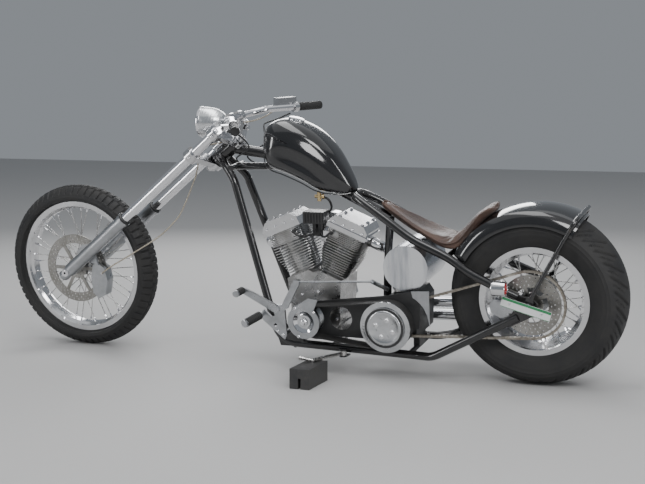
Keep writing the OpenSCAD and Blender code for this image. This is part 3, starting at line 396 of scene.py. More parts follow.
class Workshop:
    """Builds the shared node groups once, and a material for each finish."""

    def __init__(self) -> None:
        """Make the groups that the materials share."""
        self.patches = self._patch_group()
        self.cast = self._grain_group("cast_grain", "NOISE")
        self.hide = self._grain_group("hide_grain", "VORONOI")
        self.brushed = self._grain_group("brushed_grain", "NOISE")
        self.spun = self._spun_group()
        self.grime = self._grime_group()
        self.made: dict[str, bpy.types.Material] = {}

    @staticmethod
    def _group(name: str, inputs: list[tuple[str, str, float]],
               outputs: list[tuple[str, str]]) -> tuple:
        """A new shader group with named sockets, its tree, its input node and its output node."""
        tree = bpy.data.node_groups.new(name, "ShaderNodeTree")
        for label, kind, value in inputs:
            socket = tree.interface.new_socket(name=label, in_out="INPUT", socket_type=kind)
            if kind == "NodeSocketFloat":
                socket.default_value = value
        for label, kind in outputs:
            tree.interface.new_socket(name=label, in_out="OUTPUT", socket_type=kind)
        return tree, tree.nodes.new("NodeGroupInput"), tree.nodes.new("NodeGroupOutput")

    def _patch_group(self) -> bpy.types.NodeTree:
        """Broad, soft patches: two scales of noise added, then stretched about their middle.

        Returns:
            A group that puts out a mask.
        """
        tree, into, out = self._group(
            "surface_patches", [("Vector", "NodeSocketVector", 0), ("Scale", "NodeSocketFloat", 6),
                                ("Contrast", "NodeSocketFloat", 0.2)],
            [("Mask", "NodeSocketFloat")])
        wide, fine = tree.nodes.new("ShaderNodeTexNoise"), tree.nodes.new("ShaderNodeTexNoise")
        times = tree.nodes.new("ShaderNodeMath")
        times.operation, times.inputs[1].default_value = "MULTIPLY", 5.0
        mix = tree.nodes.new("ShaderNodeMath")
        mix.operation = "MULTIPLY_ADD"
        mix.inputs[1].default_value = 0.4
        spread = tree.nodes.new("ShaderNodeMapRange")
        low, high = tree.nodes.new("ShaderNodeMath"), tree.nodes.new("ShaderNodeMath")
        low.operation, low.inputs[0].default_value = "SUBTRACT", 0.7
        high.operation, high.inputs[0].default_value = "ADD", 0.7
        link = tree.links.new
        for noise in (wide, fine):
            link(into.outputs["Vector"], noise.inputs["Vector"])
            noise.inputs["Detail"].default_value = 5.0
        link(into.outputs["Scale"], wide.inputs["Scale"])
        link(into.outputs["Scale"], times.inputs[0])
        link(times.outputs[0], fine.inputs["Scale"])
        link(fine.outputs[0], mix.inputs[0])
        link(wide.outputs[0], mix.inputs[2])
        link(mix.outputs[0], spread.inputs["Value"])
        link(into.outputs["Contrast"], low.inputs[1])
        link(into.outputs["Contrast"], high.inputs[1])
        link(low.outputs[0], spread.inputs["From Min"])
        link(high.outputs[0], spread.inputs["From Max"])
        link(spread.outputs[0], out.inputs["Mask"])
        return tree

    def _grain_group(self, name: str, kind: str) -> bpy.types.NodeTree:
        """Fine relief: noise, or the creases between cells with fine noise over them.

        Args:
            name: the group's name.
            kind: NOISE, or VORONOI for the creased form.

        Returns:
            A group that puts out a height.
        """
        tree, into, out = self._group(
            name, [("Vector", "NodeSocketVector", 0), ("Scale", "NodeSocketFloat", 300)],
            [("Height", "NodeSocketFloat")])
        noise = tree.nodes.new("ShaderNodeTexNoise")
        noise.inputs["Detail"].default_value = 4.0
        link = tree.links.new
        link(into.outputs["Vector"], noise.inputs["Vector"])
        link(into.outputs["Scale"], noise.inputs["Scale"])
        if kind == "NOISE":
            link(noise.outputs[0], out.inputs["Height"])
            return tree
        cells = tree.nodes.new("ShaderNodeTexVoronoi")
        cells.feature = "DISTANCE_TO_EDGE"
        crease = tree.nodes.new("ShaderNodeMapRange")
        crease.inputs["From Max"].default_value = 0.12
        add = tree.nodes.new("ShaderNodeMath")
        add.operation, add.inputs[1].default_value = "MULTIPLY_ADD", 0.35
        link(into.outputs["Vector"], cells.inputs["Vector"])
        link(into.outputs["Scale"], cells.inputs["Scale"])
        link(cells.outputs["Distance"], crease.inputs["Value"])
        link(noise.outputs[0], add.inputs[0])
        link(crease.outputs[0], add.inputs[2])
        link(add.outputs[0], out.inputs["Height"])
        return tree

    def _spun_group(self) -> bpy.types.NodeTree:
        """Turning marks: noise read along the distance from an axis that runs across the machine.

        Returns:
            A group that puts out a height.
        """
        tree, into, out = self._group(
            "spun_rings", [("Vector", "NodeSocketVector", 0), ("Scale", "NodeSocketFloat", 300)],
            [("Height", "NodeSocketFloat")])
        split = tree.nodes.new("ShaderNodeSeparateXYZ")
        flat = tree.nodes.new("ShaderNodeCombineXYZ")
        length = tree.nodes.new("ShaderNodeVectorMath")
        length.operation = "LENGTH"
        noise = tree.nodes.new("ShaderNodeTexNoise")
        noise.noise_dimensions = "1D"
        noise.inputs["Detail"].default_value = 3.0
        link = tree.links.new
        link(into.outputs["Vector"], split.inputs[0])
        link(split.outputs["X"], flat.inputs["X"])
        link(split.outputs["Z"], flat.inputs["Z"])
        link(flat.outputs[0], length.inputs[0])
        link(length.outputs["Value"], noise.inputs["W"])
        link(into.outputs["Scale"], noise.inputs["Scale"])
        link(noise.outputs[0], out.inputs["Height"])
        return tree

    def _grime_group(self) -> bpy.types.NodeTree:
        """Oil and dust: a noise cut at a level, with soft edges.

        Returns:
            A group that puts out a mask.
        """
        tree, into, out = self._group(
            "grime", [("Vector", "NodeSocketVector", 0), ("Scale", "NodeSocketFloat", 20),
                      ("Amount", "NodeSocketFloat", 0.3)],
            [("Mask", "NodeSocketFloat")])
        noise = tree.nodes.new("ShaderNodeTexNoise")
        noise.inputs["Detail"].default_value = 8.0
        noise.inputs["Roughness"].default_value = 0.7
        span = tree.nodes.new("ShaderNodeMapRange")
        edge = tree.nodes.new("ShaderNodeMath")
        edge.operation, edge.inputs[0].default_value = "SUBTRACT", 0.85
        link = tree.links.new
        link(into.outputs["Vector"], noise.inputs["Vector"])
        link(into.outputs["Scale"], noise.inputs["Scale"])
        link(into.outputs["Amount"], edge.inputs[1])
        link(edge.outputs[0], span.inputs["From Min"])
        span.inputs["From Max"].default_value = 0.85
        link(noise.outputs[0], span.inputs["Value"])
        link(span.outputs[0], out.inputs["Mask"])
        return tree

    def make(self, finish: Finish, centre: tuple[float, float, float] = (0.0, 0.0, 0.0)
             ) -> bpy.types.Material:
        """The finish's material.

        Args:
            finish: colours, shine and relief.
            centre: where turned marks have their axis, in the row frame.

        Returns:
            A material whose colour, roughness and relief come from nodes.
        """
        key = finish.name + "".join(f"_{round(c * 100)}" for c in centre if c)
        if key in self.made:
            return self.made[key]
        mat = bpy.data.materials.new(key.replace("-", "m"))
        mat.use_nodes = True
        nodes, link = mat.node_tree.nodes, mat.node_tree.links.new
        shader = nodes["Principled BSDF"]
        place = nodes.new("ShaderNodeTexCoord")
        move = nodes.new("ShaderNodeMapping")
        turned = Euler((STANCE.lean if any(centre) else 0.0, 0, 0)).to_matrix()
        move.inputs["Rotation"].default_value = turned.to_euler()
        move.inputs["Location"].default_value = -(turned @ Vector(
            [c * s for c, s in zip(centre, finish.stretch)]))
        move.inputs["Scale"].default_value = finish.stretch
        link(place.outputs["Object"], move.inputs["Vector"])

        patch = nodes.new("ShaderNodeGroup")
        patch.node_tree = self.patches
        patch.inputs["Scale"].default_value = finish.patch_scale
        patch.inputs["Contrast"].default_value = finish.patch_contrast
        link(move.outputs[0], patch.inputs["Vector"])
        # Mix base and second colour by the patch mask: wear and tone, and on the oil tank painted
        # reflection streaks.
        tint = nodes.new("ShaderNodeMix")
        tint.data_type = "RGBA"
        tint.inputs["A"].default_value = (*finish.base, 1)
        tint.inputs["B"].default_value = (*finish.worn, 1)
        link(patch.outputs["Mask"], tint.inputs["Factor"])
        colour = tint.outputs["Result"]
        rough = nodes.new("ShaderNodeMapRange")
        rough.inputs["To Min"].default_value = max(finish.roughness - finish.rough_swing, 0.02)
        rough.inputs["To Max"].default_value = min(finish.roughness + finish.rough_swing, 1.0)
        link(patch.outputs["Mask"], rough.inputs["Value"])
        roughness = rough.outputs[0]
        if finish.dirt:
            grime = nodes.new("ShaderNodeGroup")
            grime.node_tree = self.grime
            grime.inputs["Amount"].default_value = finish.dirt
            grime.inputs["Scale"].default_value = finish.patch_scale * 4
            link(place.outputs["Object"], grime.inputs["Vector"])
            soil = nodes.new("ShaderNodeMix")
            soil.data_type = "RGBA"
            soil.inputs["B"].default_value = (*finish.dirt_colour, 1)
            link(grime.outputs["Mask"], soil.inputs["Factor"])
            link(colour, soil.inputs["A"])
            colour = soil.outputs["Result"]
            dull = nodes.new("ShaderNodeMix")
            dull.inputs["B"].default_value = 0.75
            link(grime.outputs["Mask"], dull.inputs["Factor"])
            link(roughness, dull.inputs["A"])
            roughness = dull.outputs["Result"]
        link(colour, shader.inputs["Base Color"])
        link(roughness, shader.inputs["Roughness"])
        if finish.grain is not Grain.NONE:
            link(self._relief(mat, finish, move.outputs[0]), shader.inputs["Normal"])
        shader.inputs["Metallic"].default_value = finish.metallic
        shader.inputs["Coat Weight"].default_value = finish.coat
        shader.inputs["Coat Roughness"].default_value = finish.coat_roughness
        shader.inputs["Specular IOR Level"].default_value = finish.specular
        shader.inputs["Transmission Weight"].default_value = finish.transmission
        shader.inputs["Anisotropic"].default_value = finish.anisotropic
        shader.inputs["Sheen Weight"].default_value = finish.sheen
        shader.inputs["Alpha"].default_value = finish.alpha
        self.made[key] = mat
        return mat

    def _relief(self, mat: bpy.types.Material, finish: Finish,
                vector: bpy.types.NodeSocket) -> bpy.types.NodeSocket:
        """The normal from the finish's fine relief.

        Args:
            mat: the material being made.
            finish: which relief, its scale and its depth.
            vector: the place that the relief is read at.

        Returns:
            The bump's normal.
        """
        nodes, link = mat.node_tree.nodes, mat.node_tree.links.new
        group = {Grain.CAST: self.cast, Grain.RUBBER: self.cast, Grain.HIDE: self.hide,
                 Grain.BRUSHED: self.brushed, Grain.SPUN: self.spun}
        relief = nodes.new("ShaderNodeGroup")
        relief.node_tree = group[finish.grain]
        relief.inputs["Scale"].default_value = finish.grain_scale
        link(vector, relief.inputs["Vector"])
        bump = nodes.new("ShaderNodeBump")
        bump.inputs["Strength"].default_value = 0.6
        bump.inputs["Distance"].default_value = finish.grain_depth
        link(relief.outputs["Height"], bump.inputs["Height"])
        return bump.outputs["Normal"]


class Look(Enum):
    """Every finish on the machine."""

    GLOSS_BLACK = Finish("gloss_black", (0.006, 0.006, 0.007), (0.010, 0.010, 0.011), 0, 0.16, 0.03,
                         3, 0.3, Grain.CAST, 900, 0.00002, coat=1.0, coat_roughness=0.02)
    FRAME_BLACK = Finish("frame_black", (0.008, 0.008, 0.009), (0.014, 0.013, 0.013), 0, 0.22, 0.05,
                         8, 0.3, Grain.CAST, 700, 0.00003, coat=0.8, coat_roughness=0.05, dirt=0.18)
    POLISHED = Finish("polished_aluminium", (0.78, 0.78, 0.79), (0.62, 0.62, 0.63), 1, 0.14, 0.06,
                      12, 0.25, Grain.BRUSHED, 240, 0.00002, (1, 5, 1), dirt=0.12,
                      dirt_colour=(0.42, 0.40, 0.37))
    SPUN = Finish("spun_aluminium", (0.70, 0.71, 0.72), (0.50, 0.51, 0.52), 1, 0.22, 0.06, 10, 0.2,
                  Grain.SPUN, 900, 0.00012)
    BRUSHED = Finish("brushed_shell", (0.84, 0.85, 0.86), (0.72, 0.73, 0.74), 1, 0.27, 0.05, 9, 0.2,
                     Grain.BRUSHED, 300, 0.00005, (1, 6, 6))
    # Oil tank: its two colours alternate in narrow upright bands, which are painted reflection streaks; the
    # brushed bump is the metal's own grain.
    BUFFED = Finish("buffed_tank_painted_streaks", (0.80, 0.81, 0.83), (0.40, 0.42, 0.46), 1, 0.24, 0.06, 1.3, 0.12,
                    Grain.BRUSHED, 120, 0.00006, (9, 1, 1.2))
    SATIN = Finish("satin_aluminium", (0.52, 0.53, 0.55), (0.38, 0.39, 0.40), 1, 0.32, 0.08, 14,
                   0.25, Grain.CAST, 900, 0.00006, dirt=0.16, dirt_colour=(0.30, 0.28, 0.26))
    CAST_METAL = Finish("cast_aluminium", (0.58, 0.58, 0.58), (0.38, 0.37, 0.36), 1, 0.30, 0.1, 16,
                        0.25, Grain.CAST, 700, 0.00018, dirt=0.22, dirt_colour=(0.25, 0.23, 0.2))
    CHROME = Finish("chrome", (0.90, 0.90, 0.92), (0.84, 0.84, 0.86), 1, 0.05, 0.02, 8, 0.3,
                    Grain.CAST, 300, 0.00001)
    STEEL = Finish("bright_steel", (0.66, 0.65, 0.64), (0.52, 0.51, 0.49), 1, 0.28, 0.08, 22, 0.25,
                   Grain.BRUSHED, 300, 0.00008, (6, 1, 1), dirt=0.14, dirt_colour=(0.3, 0.26, 0.2))
    DISC = Finish("ground_disc", (0.40, 0.39, 0.37), (0.26, 0.25, 0.23), 1, 0.32, 0.08, 14, 0.2,
                  Grain.SPUN, 1400, 0.0001, dirt=0.2, dirt_colour=(0.22, 0.18, 0.14))
    CHAIN = Finish("oiled_chain", (0.46, 0.43, 0.38), (0.28, 0.25, 0.21), 1, 0.38, 0.1, 40, 0.2,
                   Grain.CAST, 900, 0.0001, dirt=0.32, dirt_colour=(0.07, 0.05, 0.035))
    BRASS = Finish("worn_brass", (0.72, 0.56, 0.30), (0.55, 0.40, 0.2), 1, 0.28, 0.08, 30, 0.2,
                   Grain.CAST, 900, 0.00005)
    TYRE = Finish("tyre_rubber", (0.020, 0.020, 0.021), (0.034, 0.033, 0.032), 0, 0.62, 0.1, 14, 0.2,
                  Grain.RUBBER, 1100, 0.00025, dirt=0.2, dirt_colour=(0.06, 0.052, 0.045),
                  specular=0.35)
    GRIP = Finish("grip_rubber", (0.016, 0.016, 0.016), (0.03, 0.03, 0.03), 0, 0.55, 0.1, 30, 0.2,
                  Grain.RUBBER, 800, 0.0003, specular=0.4)
    BELT = Finish("belt_rubber", (0.018, 0.018, 0.018), (0.032, 0.031, 0.03), 0, 0.6, 0.1, 30, 0.2,
                  Grain.RUBBER, 900, 0.0003, dirt=0.15, dirt_colour=(0.08, 0.075, 0.07))
    LEATHER = Finish("brown_leather", (0.040, 0.019, 0.013), (0.105, 0.056, 0.038), 0, 0.38, 0.1, 9,
                     0.16, Grain.HIDE, 420, 0.0005, dirt=0.22, dirt_colour=(0.028, 0.016, 0.012),
                     sheen=0.15)
    THREAD = Finish("seat_lacing", (0.10, 0.055, 0.035), (0.06, 0.032, 0.02), 0, 0.55, 0.1, 90, 0.2,
                    Grain.HIDE, 900, 0.0003)
    PLASTIC = Finish("satin_black", (0.022, 0.022, 0.023), (0.034, 0.034, 0.034), 0, 0.42, 0.08, 20,
                     0.2, Grain.CAST, 900, 0.0001)
    BLOCK = Finish("worn_block", (0.028, 0.028, 0.03), (0.055, 0.053, 0.05), 0, 0.55, 0.1, 18, 0.2,
                   Grain.CAST, 500, 0.0003, dirt=0.25, dirt_colour=(0.13, 0.12, 0.1))
    HOSE = Finish("sleeved_hose", (0.50, 0.44, 0.34), (0.36, 0.32, 0.26), 0.4, 0.3, 0.06, 60, 0.2,
                  Grain.HIDE, 1400, 0.0002, coat=0.6)
    GLASS = Finish("lamp_glass", (0.93, 0.95, 0.96), (0.85, 0.88, 0.9), 0, 0.04, 0.02, 20, 0.3,
                   Grain.CAST, 60, 0.0003, transmission=1.0)
    RED = Finish("red_lens", (0.55, 0.010, 0.012), (0.38, 0.006, 0.008), 0, 0.15, 0.04, 40, 0.3,
                 Grain.CAST, 260, 0.0004, coat=0.8)
    WHITE = Finish("plate_white", (0.80, 0.81, 0.80), (0.70, 0.71, 0.70), 0, 0.3, 0.06, 12, 0.3,
                   Grain.CAST, 400, 0.00008, coat=0.4)
    GREEN = Finish("plate_green", (0.02, 0.20, 0.07), (0.03, 0.26, 0.1), 0, 0.3, 0.06, 12, 0.3,
                   Grain.CAST, 400, 0.00008, coat=0.4)
    CABLE = Finish("cable_sleeve", (0.014, 0.014, 0.015), (0.024, 0.024, 0.024), 0, 0.4, 0.06, 60,
                   0.2, Grain.CAST, 900, 0.0001)
    REFLECTOR = Finish("lamp_bowl", (0.93, 0.93, 0.94), (0.88, 0.88, 0.9), 1, 0.08, 0.03, 10, 0.3,
                       Grain.SPUN, 300, 0.00005)


WORKSHOP = Workshop()


def piece(name: str, shell: Shell, look: Look, body: str, edge: Edge = Edge.CREASED,
          bevel: float = 0.0, subdivide: int = 0, stands_for: tuple[str, ...] = (),
          axis: tuple[float, float, float] = (0.0, 0.0, 0.0)) -> bpy.types.Object:
    """Make a piece, dress it, hang it on its body and report it.

    Args:
        name: the piece's name.
        shell: its surface, in the row frame.
        look: its finish.
        body: the CAD body that it rides on.
        edge: how its faces meet.
        bevel: width of rounded edges, in metres.
        subdivide: levels of subdivision.
        stands_for: the CAD nodes that it replaces.
        axis: a point on the axis of turned marks.

    Returns:
        The piece.
    """
    obj = make_object(name, shell, edge, bevel, subdivide)
    obj.data.materials.append(WORKSHOP.make(look.value, axis))
    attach(obj, body)
    if stands_for:
        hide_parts(*stands_for)
    log.info("%s: %d faces on %s", name, len(obj.data.polygons), body)
    return obj


def dress(node: str, look: Look, axis: tuple[float, float, float] = (0.0, 0.0, 0.0)) -> None:
    """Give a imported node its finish."""
    obj = frame["nodes"][node]
    obj.data.materials.clear()
    obj.data.materials.append(WORKSHOP.make(look.value, axis))
    log.info("%s dressed in %s", node, look.value.name)


def middle(node: str) -> tuple[float, float, float]:
    """The middle of a node's box at rest."""
    low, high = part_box(node)
    return tuple((a + b) / 2 for a, b in zip(low, high))


def flip(points: Array) -> Array:
    """The same points on the other side of the machine."""
    return np.asarray(points, dtype=float) * np.array([1.0, -1.0, 1.0])


# ---------------------------------------------------------------------------------------------
# Wheels
# ---------------------------------------------------------------------------------------------

class Tread(Enum):
    """What is cut into a tyre's crown."""

    SWEPT = "swept"
    BLOCK = "block"


@dataclass
class Wheel:
    """A wheel: its tyre with a cut tread, and its rim, spokes, hub and disc."""

    prefix: str
    axle_x: float
    axle_z: float
    tyre_r: float
    tyre_w: float
    crown_r: float
    rim_r: float
    rim_w: float
    tread: Tread
    cuts: int
    depth: float
    disc: str
    segments: int = 960

    def profile(self) -> Array:
        """The tyre's closed section: crown arc, shoulder arcs, sides, beads and a plain inner wall.

        The crown is an arc of crown_r. Each shoulder is an arc that touches it, and each side
        runs straight from there to the bead. Points are then spaced evenly along the outside.

        Returns:
            (n, 2) distance from the axle and y of each point round the section.
        """
        w, shoulder = self.tyre_w, self.tyre_w * 0.2
        foot = self.tyre_r - self.crown_r
        centre = foot + math.sqrt((self.crown_r - shoulder) ** 2 - (w / 2 - shoulder) ** 2)
        touch = math.asin((w / 2 - shoulder) / (self.crown_r - shoulder))
        bead_w, bead_r = self.rim_w / 2 - 4.4, self.rim_r - 15
        a = np.linspace(0, touch, 40)
        crown = np.column_stack([foot + self.crown_r * np.cos(a), self.crown_r * np.sin(a)])
        b = np.linspace(touch, math.pi / 2 + 0.35, 24)
        arc = np.column_stack([centre + shoulder * np.cos(b), w / 2 - shoulder + shoulder * np.sin(b)])
        side = np.array([[self.rim_r + 6, bead_w + 8], [self.rim_r + 1, bead_w + 4.5],
                         [self.rim_r - 1, bead_w], [bead_r, bead_w]])
        half = np.vstack([crown, arc[1:], side])
        step = np.concatenate([[0], np.cumsum(np.linalg.norm(np.diff(half, axis=0), axis=1))])
        even = np.linspace(0, step[-1], 38)
        half = np.column_stack([np.interp(even, step, half[:, k]) for k in (0, 1)])
        inner = np.array([[bead_r, bead_w - 9], [self.tyre_r - 40, self.tyre_w / 2 - 22],
                          [self.tyre_r - 14, 0], [self.tyre_r - 40, 22 - self.tyre_w / 2],
                          [bead_r, 9 - bead_w]])
        return np.vstack([half[::-1] * [1, -1], half[1:], inner])

    def cut_depth(self, angle: Array, y: Array) -> Array:
        """How deep the tread is cut at each point, from 0 to 1.

        Swept: long grooves whose angle round the wheel grows with the distance from the middle,
        each open over a share of its pitch, and a fine one between them nearer the shoulder.
        Block: straight cuts across the outer rows, offset in the middle row, and two grooves round.

        Args:
            angle: angles round the axle, as a column.
            y: distances from the wheel's middle plane.

        Returns:
            The share of the full depth at each point.
        """
        across = np.abs(y) / (self.tyre_w / 2)
        side = np.sign(y)
        if self.tread is Tread.SWEPT:
            bend = 1.55 * across ** 1.6 + 0.25 * side
            phase = (angle * self.cuts / (2 * math.pi) + bend) % 1.0
            wide = 0.085 + 0.05 * across
            groove = np.clip(1.6 - np.abs(phase - 0.5) / wide * 1.6, 0, 1)
            span = np.clip((across - 0.10) * 14, 0, 1) * np.clip((0.93 - across) * 12, 0, 1)
            thin = np.clip(1.5 - np.abs((phase + 0.5) % 1.0 - 0.5) / 0.045 * 1.5, 0, 1)
            return np.maximum(groove * span, thin * 0.8 * span * np.clip((across - 0.45) * 12, 0, 1))
        phase = (angle * self.cuts / (2 * math.pi) + 0.5 * (across < 0.3) + 0.12 * side * across) % 1.0
        cut = np.clip(1.7 - np.abs(phase - 0.5) / 0.15 * 1.7, 0, 1) * np.clip((1.02 - across) * 9, 0, 1)
        ring = np.clip(1.6 - np.abs(across - 0.3) / 0.07 * 1.6, 0, 1)
        return np.maximum(cut, ring)

    def tyre(self) -> bpy.types.Object:
        """The tyre: its section round the axle, with the cut taken off along the outside's normal.

        Returns:
            The finished piece.
        """
        profile = self.profile()
        n, outside = self.segments, 75
        angle = np.linspace(0, 2 * math.pi, n, endpoint=False)[:, None]
        rho = np.broadcast_to(profile[:, 0], (n, len(profile))).copy()
        y = np.broadcast_to(profile[:, 1], (n, len(profile))).copy()
        ahead = np.roll(profile, -1, axis=0) - np.roll(profile, 1, axis=0)
        normal = np.column_stack([ahead[:, 1], -ahead[:, 0]])
        normal /= np.linalg.norm(normal, axis=1, keepdims=True) + 1e-9
        cut = self.cut_depth(angle, y) * self.depth
        high = np.clip((rho - (self.tyre_r - self.tyre_w * 0.30)) / 8, 0, 1)
        cut = cut * high
        wall = self.tyre_r - self.rim_r
        rib = 1.6 * (np.abs(((rho - self.rim_r) / 14.0) % 1.0 - 0.5) < 0.22) * (
            (rho > self.rim_r + 0.16 * wall) & (rho < self.rim_r + 0.62 * wall))
        cut[:, outside:] = 0
        cut = cut - np.where(np.arange(len(profile)) < outside, rib, 0)
        rho, y = rho - cut * normal[:, 0], y - cut * normal[:, 1]
        rings = np.stack([self.axle_x + rho * np.cos(angle), y, self.axle_z + rho * np.sin(angle)], -1)
        return piece(f"{self.prefix}_tyre_tread", loft(STANCE.place(rings), closed=True), Look.TYRE,
                     f"{self.prefix}_wheel", Edge.CREASED, stands_for=(f"{self.prefix}_tyre",))

    def nipples(self) -> None:
        """A short nipple where each spoke meets the rim: a cone on the line from the hub's flange."""
        count = 40
        pair = 2 * math.pi * 4 / count
        k = np.arange(count // 4)
        shells = []
        bed = self.rim_r - (34 if self.prefix == "rear" else 27) - 4
        flange_r, flange_y = (46, 62) if self.prefix == "rear" else (35, 30)
        for side in (-1, 1):
            for lead in (-1, 1):
                start = k * pair + (pair / 4 if side > 0 else 0)
                tip = start + (0 if lead > 0 else pair / 2)
                foot = start + lead * math.radians(62) + (0 if lead > 0 else pair / 2)
                ends = np.column_stack([bed * np.cos(tip), np.full_like(tip, side * (10 + lead * 4)),
                                        bed * np.sin(tip)])
                feet = np.column_stack([flange_r * np.cos(foot),
                                        np.full_like(foot, side * (flange_y + lead * 4)),
                                        flange_r * np.sin(foot)])
                for end, base in zip(ends, feet):
                    inward = (base - end) / np.linalg.norm(base - end)
                    shells.append(tube(np.array([end - inward, end + 4 * inward, end + 16 * inward,
                                                 end + 18 * inward]),
                                       np.array([4.2, 4.0, 3.0, 2.2]), 8))
        shell = join(shells).moved(lambda v: STANCE.place(v + [self.axle_x, 0, self.axle_z]))
        piece(f"{self.prefix}_spoke_nipples", shell, Look.CHROME, f"{self.prefix}_wheel")

    def build(self) -> None:
        """Make the tyre and nipples and dress the rest."""
        self.tyre()
        self.nipples()
        axle = tuple(STANCE.place(np.array([self.axle_x, 0, self.axle_z])))
        dress(f"{self.prefix}_rim", Look.POLISHED)
        dress(f"{self.prefix}_spokes", Look.STEEL)
        dress(f"{self.prefix}_hub", Look.SATIN, axle)
        dress(self.disc, Look.DISC, axle)


# ---------------------------------------------------------------------------------------------
# Frame
# ---------------------------------------------------------------------------------------------

@dataclass
class Frame:
    """The swept tube frame: single top tube, two downtubes, low rails and rear axle plates."""

    tube_r: float = 16.0
    rail_y: float = 130.0
    rail_z: float = 106.0
    plate_y: float = 176.0
    plate_t: float = 12.0
    neck_r: float = 29.0
    neck_low: tuple[float, float, float] = field(default_factory=lambda: FORK.at(817, -60, 0))
    neck_high: tuple[float, float, float] = field(default_factory=lambda: FORK.at(920, -60, 0))

    def tubes(self) -> list[Shell]:
        """Every tube, each a circle carried along straight runs and touching bends.

        Returns:
            One shell for each tube.
        """
        x = self.neck_low[0]
        down = bent_path([[x - 16, 22, self.neck_low[2] + 20], [x - 94, 58, 746],
                          [x - 288, self.rail_y - 4, self.rail_z + 8], [508, self.rail_y, self.rail_z - 2],
                          [436, self.rail_y + 3, self.rail_z - 3], [370, self.rail_y + 30, self.rail_z + 4],
                          [38, self.plate_y - self.plate_t / 2, 292]], 90)
        upper = smooth_path([[716, 8, 690], [692, 46, 684], [572, 82, 618], [453, 108, 547],
                             [313, 136, 492], [228, 154, 445], [141, 165, 407],
                             [40, self.plate_y - self.plate_t / 2, 366]], 8)
        spine = bent_path([[x - 30, 0, self.neck_low[2] + 52], [x - 250, 0, 838], [700, 0, 668],
                           [574, 0, 600]], 160)
        post = bent_path([[574, 0, 606], [590, 0, 430], [606, 0, self.rail_z]], 300)
        made = [tube(spine, 21, 28), tube(post, self.tube_r, 24)]
        for side in (np.asarray, flip):
            made += [tube(side(down), self.tube_r, 24), tube(side(upper), self.tube_r, 24)]
        cross = x - 80
        made.append(tube(np.array([[cross, -58, 790], [cross, 58, 790]]), self.tube_r - 4))
        made.append(tube(np.array([[cross, 0, 790], [x - 330, 0, 795]]), self.tube_r - 2))
        for bar in (606, 790, 942):
            made.append(tube(np.array([[bar, -self.rail_y, self.rail_z], [bar, self.rail_y, self.rail_z]]),
                             self.tube_r - 4))
        return made

    def neck(self) -> Shell:
        """The neck: a sleeve with a raised collar at each end, hollow for the stem."""
        low, high = np.array(self.neck_low), np.array(self.neck_high)
        line = low + (high - low) * np.array([0, 0, .03, .14, .16, .84, .86, .97, 1, 1])[:, None]
        radius = np.array([20, 32, 33, 33, self.neck_r, self.neck_r, 33, 33, 32, 20.0])
        return tube(line + 0.01 * np.arange(10)[:, None] * (high - low) / 103, radius, 36)

    def plates(self) -> list[Shell]:
        """Axle plates and control lugs."""
        outline = [(-12, 296), (70, 252), (90, 268), (52, 318), (50, 344), (84, 372), (96, 388),
                   (-8, 364)] + [(34 * math.cos(k), 330 + 34 * math.sin(k))
                                 for k in np.linspace(1.9, 4.3, 18)]
        lug = [(1022, 176), (1001, 102), (900, 104), (905, 146), (935, 190)]
        made = []
        for side in (1, -1):
            y0, y1 = sorted((side * (self.plate_y - self.plate_t), side * self.plate_y))
            made.append(plate(outline, y0, y1))
            y0, y1 = sorted((side * (self.rail_y - 8), side * (self.rail_y + 8)))
            made.append(plate(lug, y0, y1))
        return made

    def ears(self) -> Shell:
        """Two ears on the left rail and the pin that the side stand turns on, upright when parked."""
        made = []
        leg_z = 82.3
        for up in (-1, 1):
            z = leg_z + up * 11.5 - 3
            o = np.array([(740, 138)] + [(725 + 15 * math.cos(k), 178 + 15 * math.sin(k))
                                         for k in np.linspace(0, math.pi, 16)] + [(710, 138)])
            made.append(loft(np.stack([np.column_stack([o, np.full(len(o), h)]) for h in (z, z + 6)])))
        made.append(tube(np.array([[725, 178, leg_z - 15], [725, 178, leg_z + 15]]), 6, 20))
        return join(made).moved(STANCE.stand)

    def build(self) -> None:
        """Make the frame in its black coat, and the nuts on the rear axle."""
        body = join(self.tubes() + [self.neck()] + self.plates()).moved(STANCE.place) + self.ears()
        piece("frame_tubes", body, Look.FRAME_BLACK, "frame", Edge.CREASED,
              stands_for=("front_frame", "rear_frame"))
        self.axle_nuts()

    def axle_nuts(self) -> None:
        """A hexagonal nut with a domed end over each end of the rear axle."""
        for side in (1, -1):
            shell = prisms(np.array([[0, side * (self.plate_y + 9), 330]]), (0, side, 0), 20, 9, 6, 1)
            tag = "left" if side > 0 else "right"
            piece(f"rear_axle_nut_{tag}", shell.moved(STANCE.place), Look.CHROME, "frame")


# ---------------------------------------------------------------------------------------------
# Bodywork
# ---------------------------------------------------------------------------------------------

def section_lines(top: list, bottom: list, count: int) -> tuple[Array, Array]:
    """Smooth top and bottom lines in the middle plane, each with count points evenly spaced by length."""
    lines = []
    for pts in (top, bottom):
        p = np.asarray(pts, dtype=float)
        dense = smooth_path(np.column_stack([p[:, 0], np.zeros(len(p)), p[:, 1]]), 12)
        step = np.concatenate([[0], np.cumsum(np.linalg.norm(np.diff(dense, axis=0), axis=1))])
        share = (1 - np.cos(np.linspace(0, math.pi, count))) / 2
        share = 0.55 * share + 0.45 * np.linspace(0, 1, count)
        at = share * step[-1]
        lines.append(np.column_stack([np.interp(at, step, dense[:, k]) for k in range(3)]))
    return lines[0], lines[1]


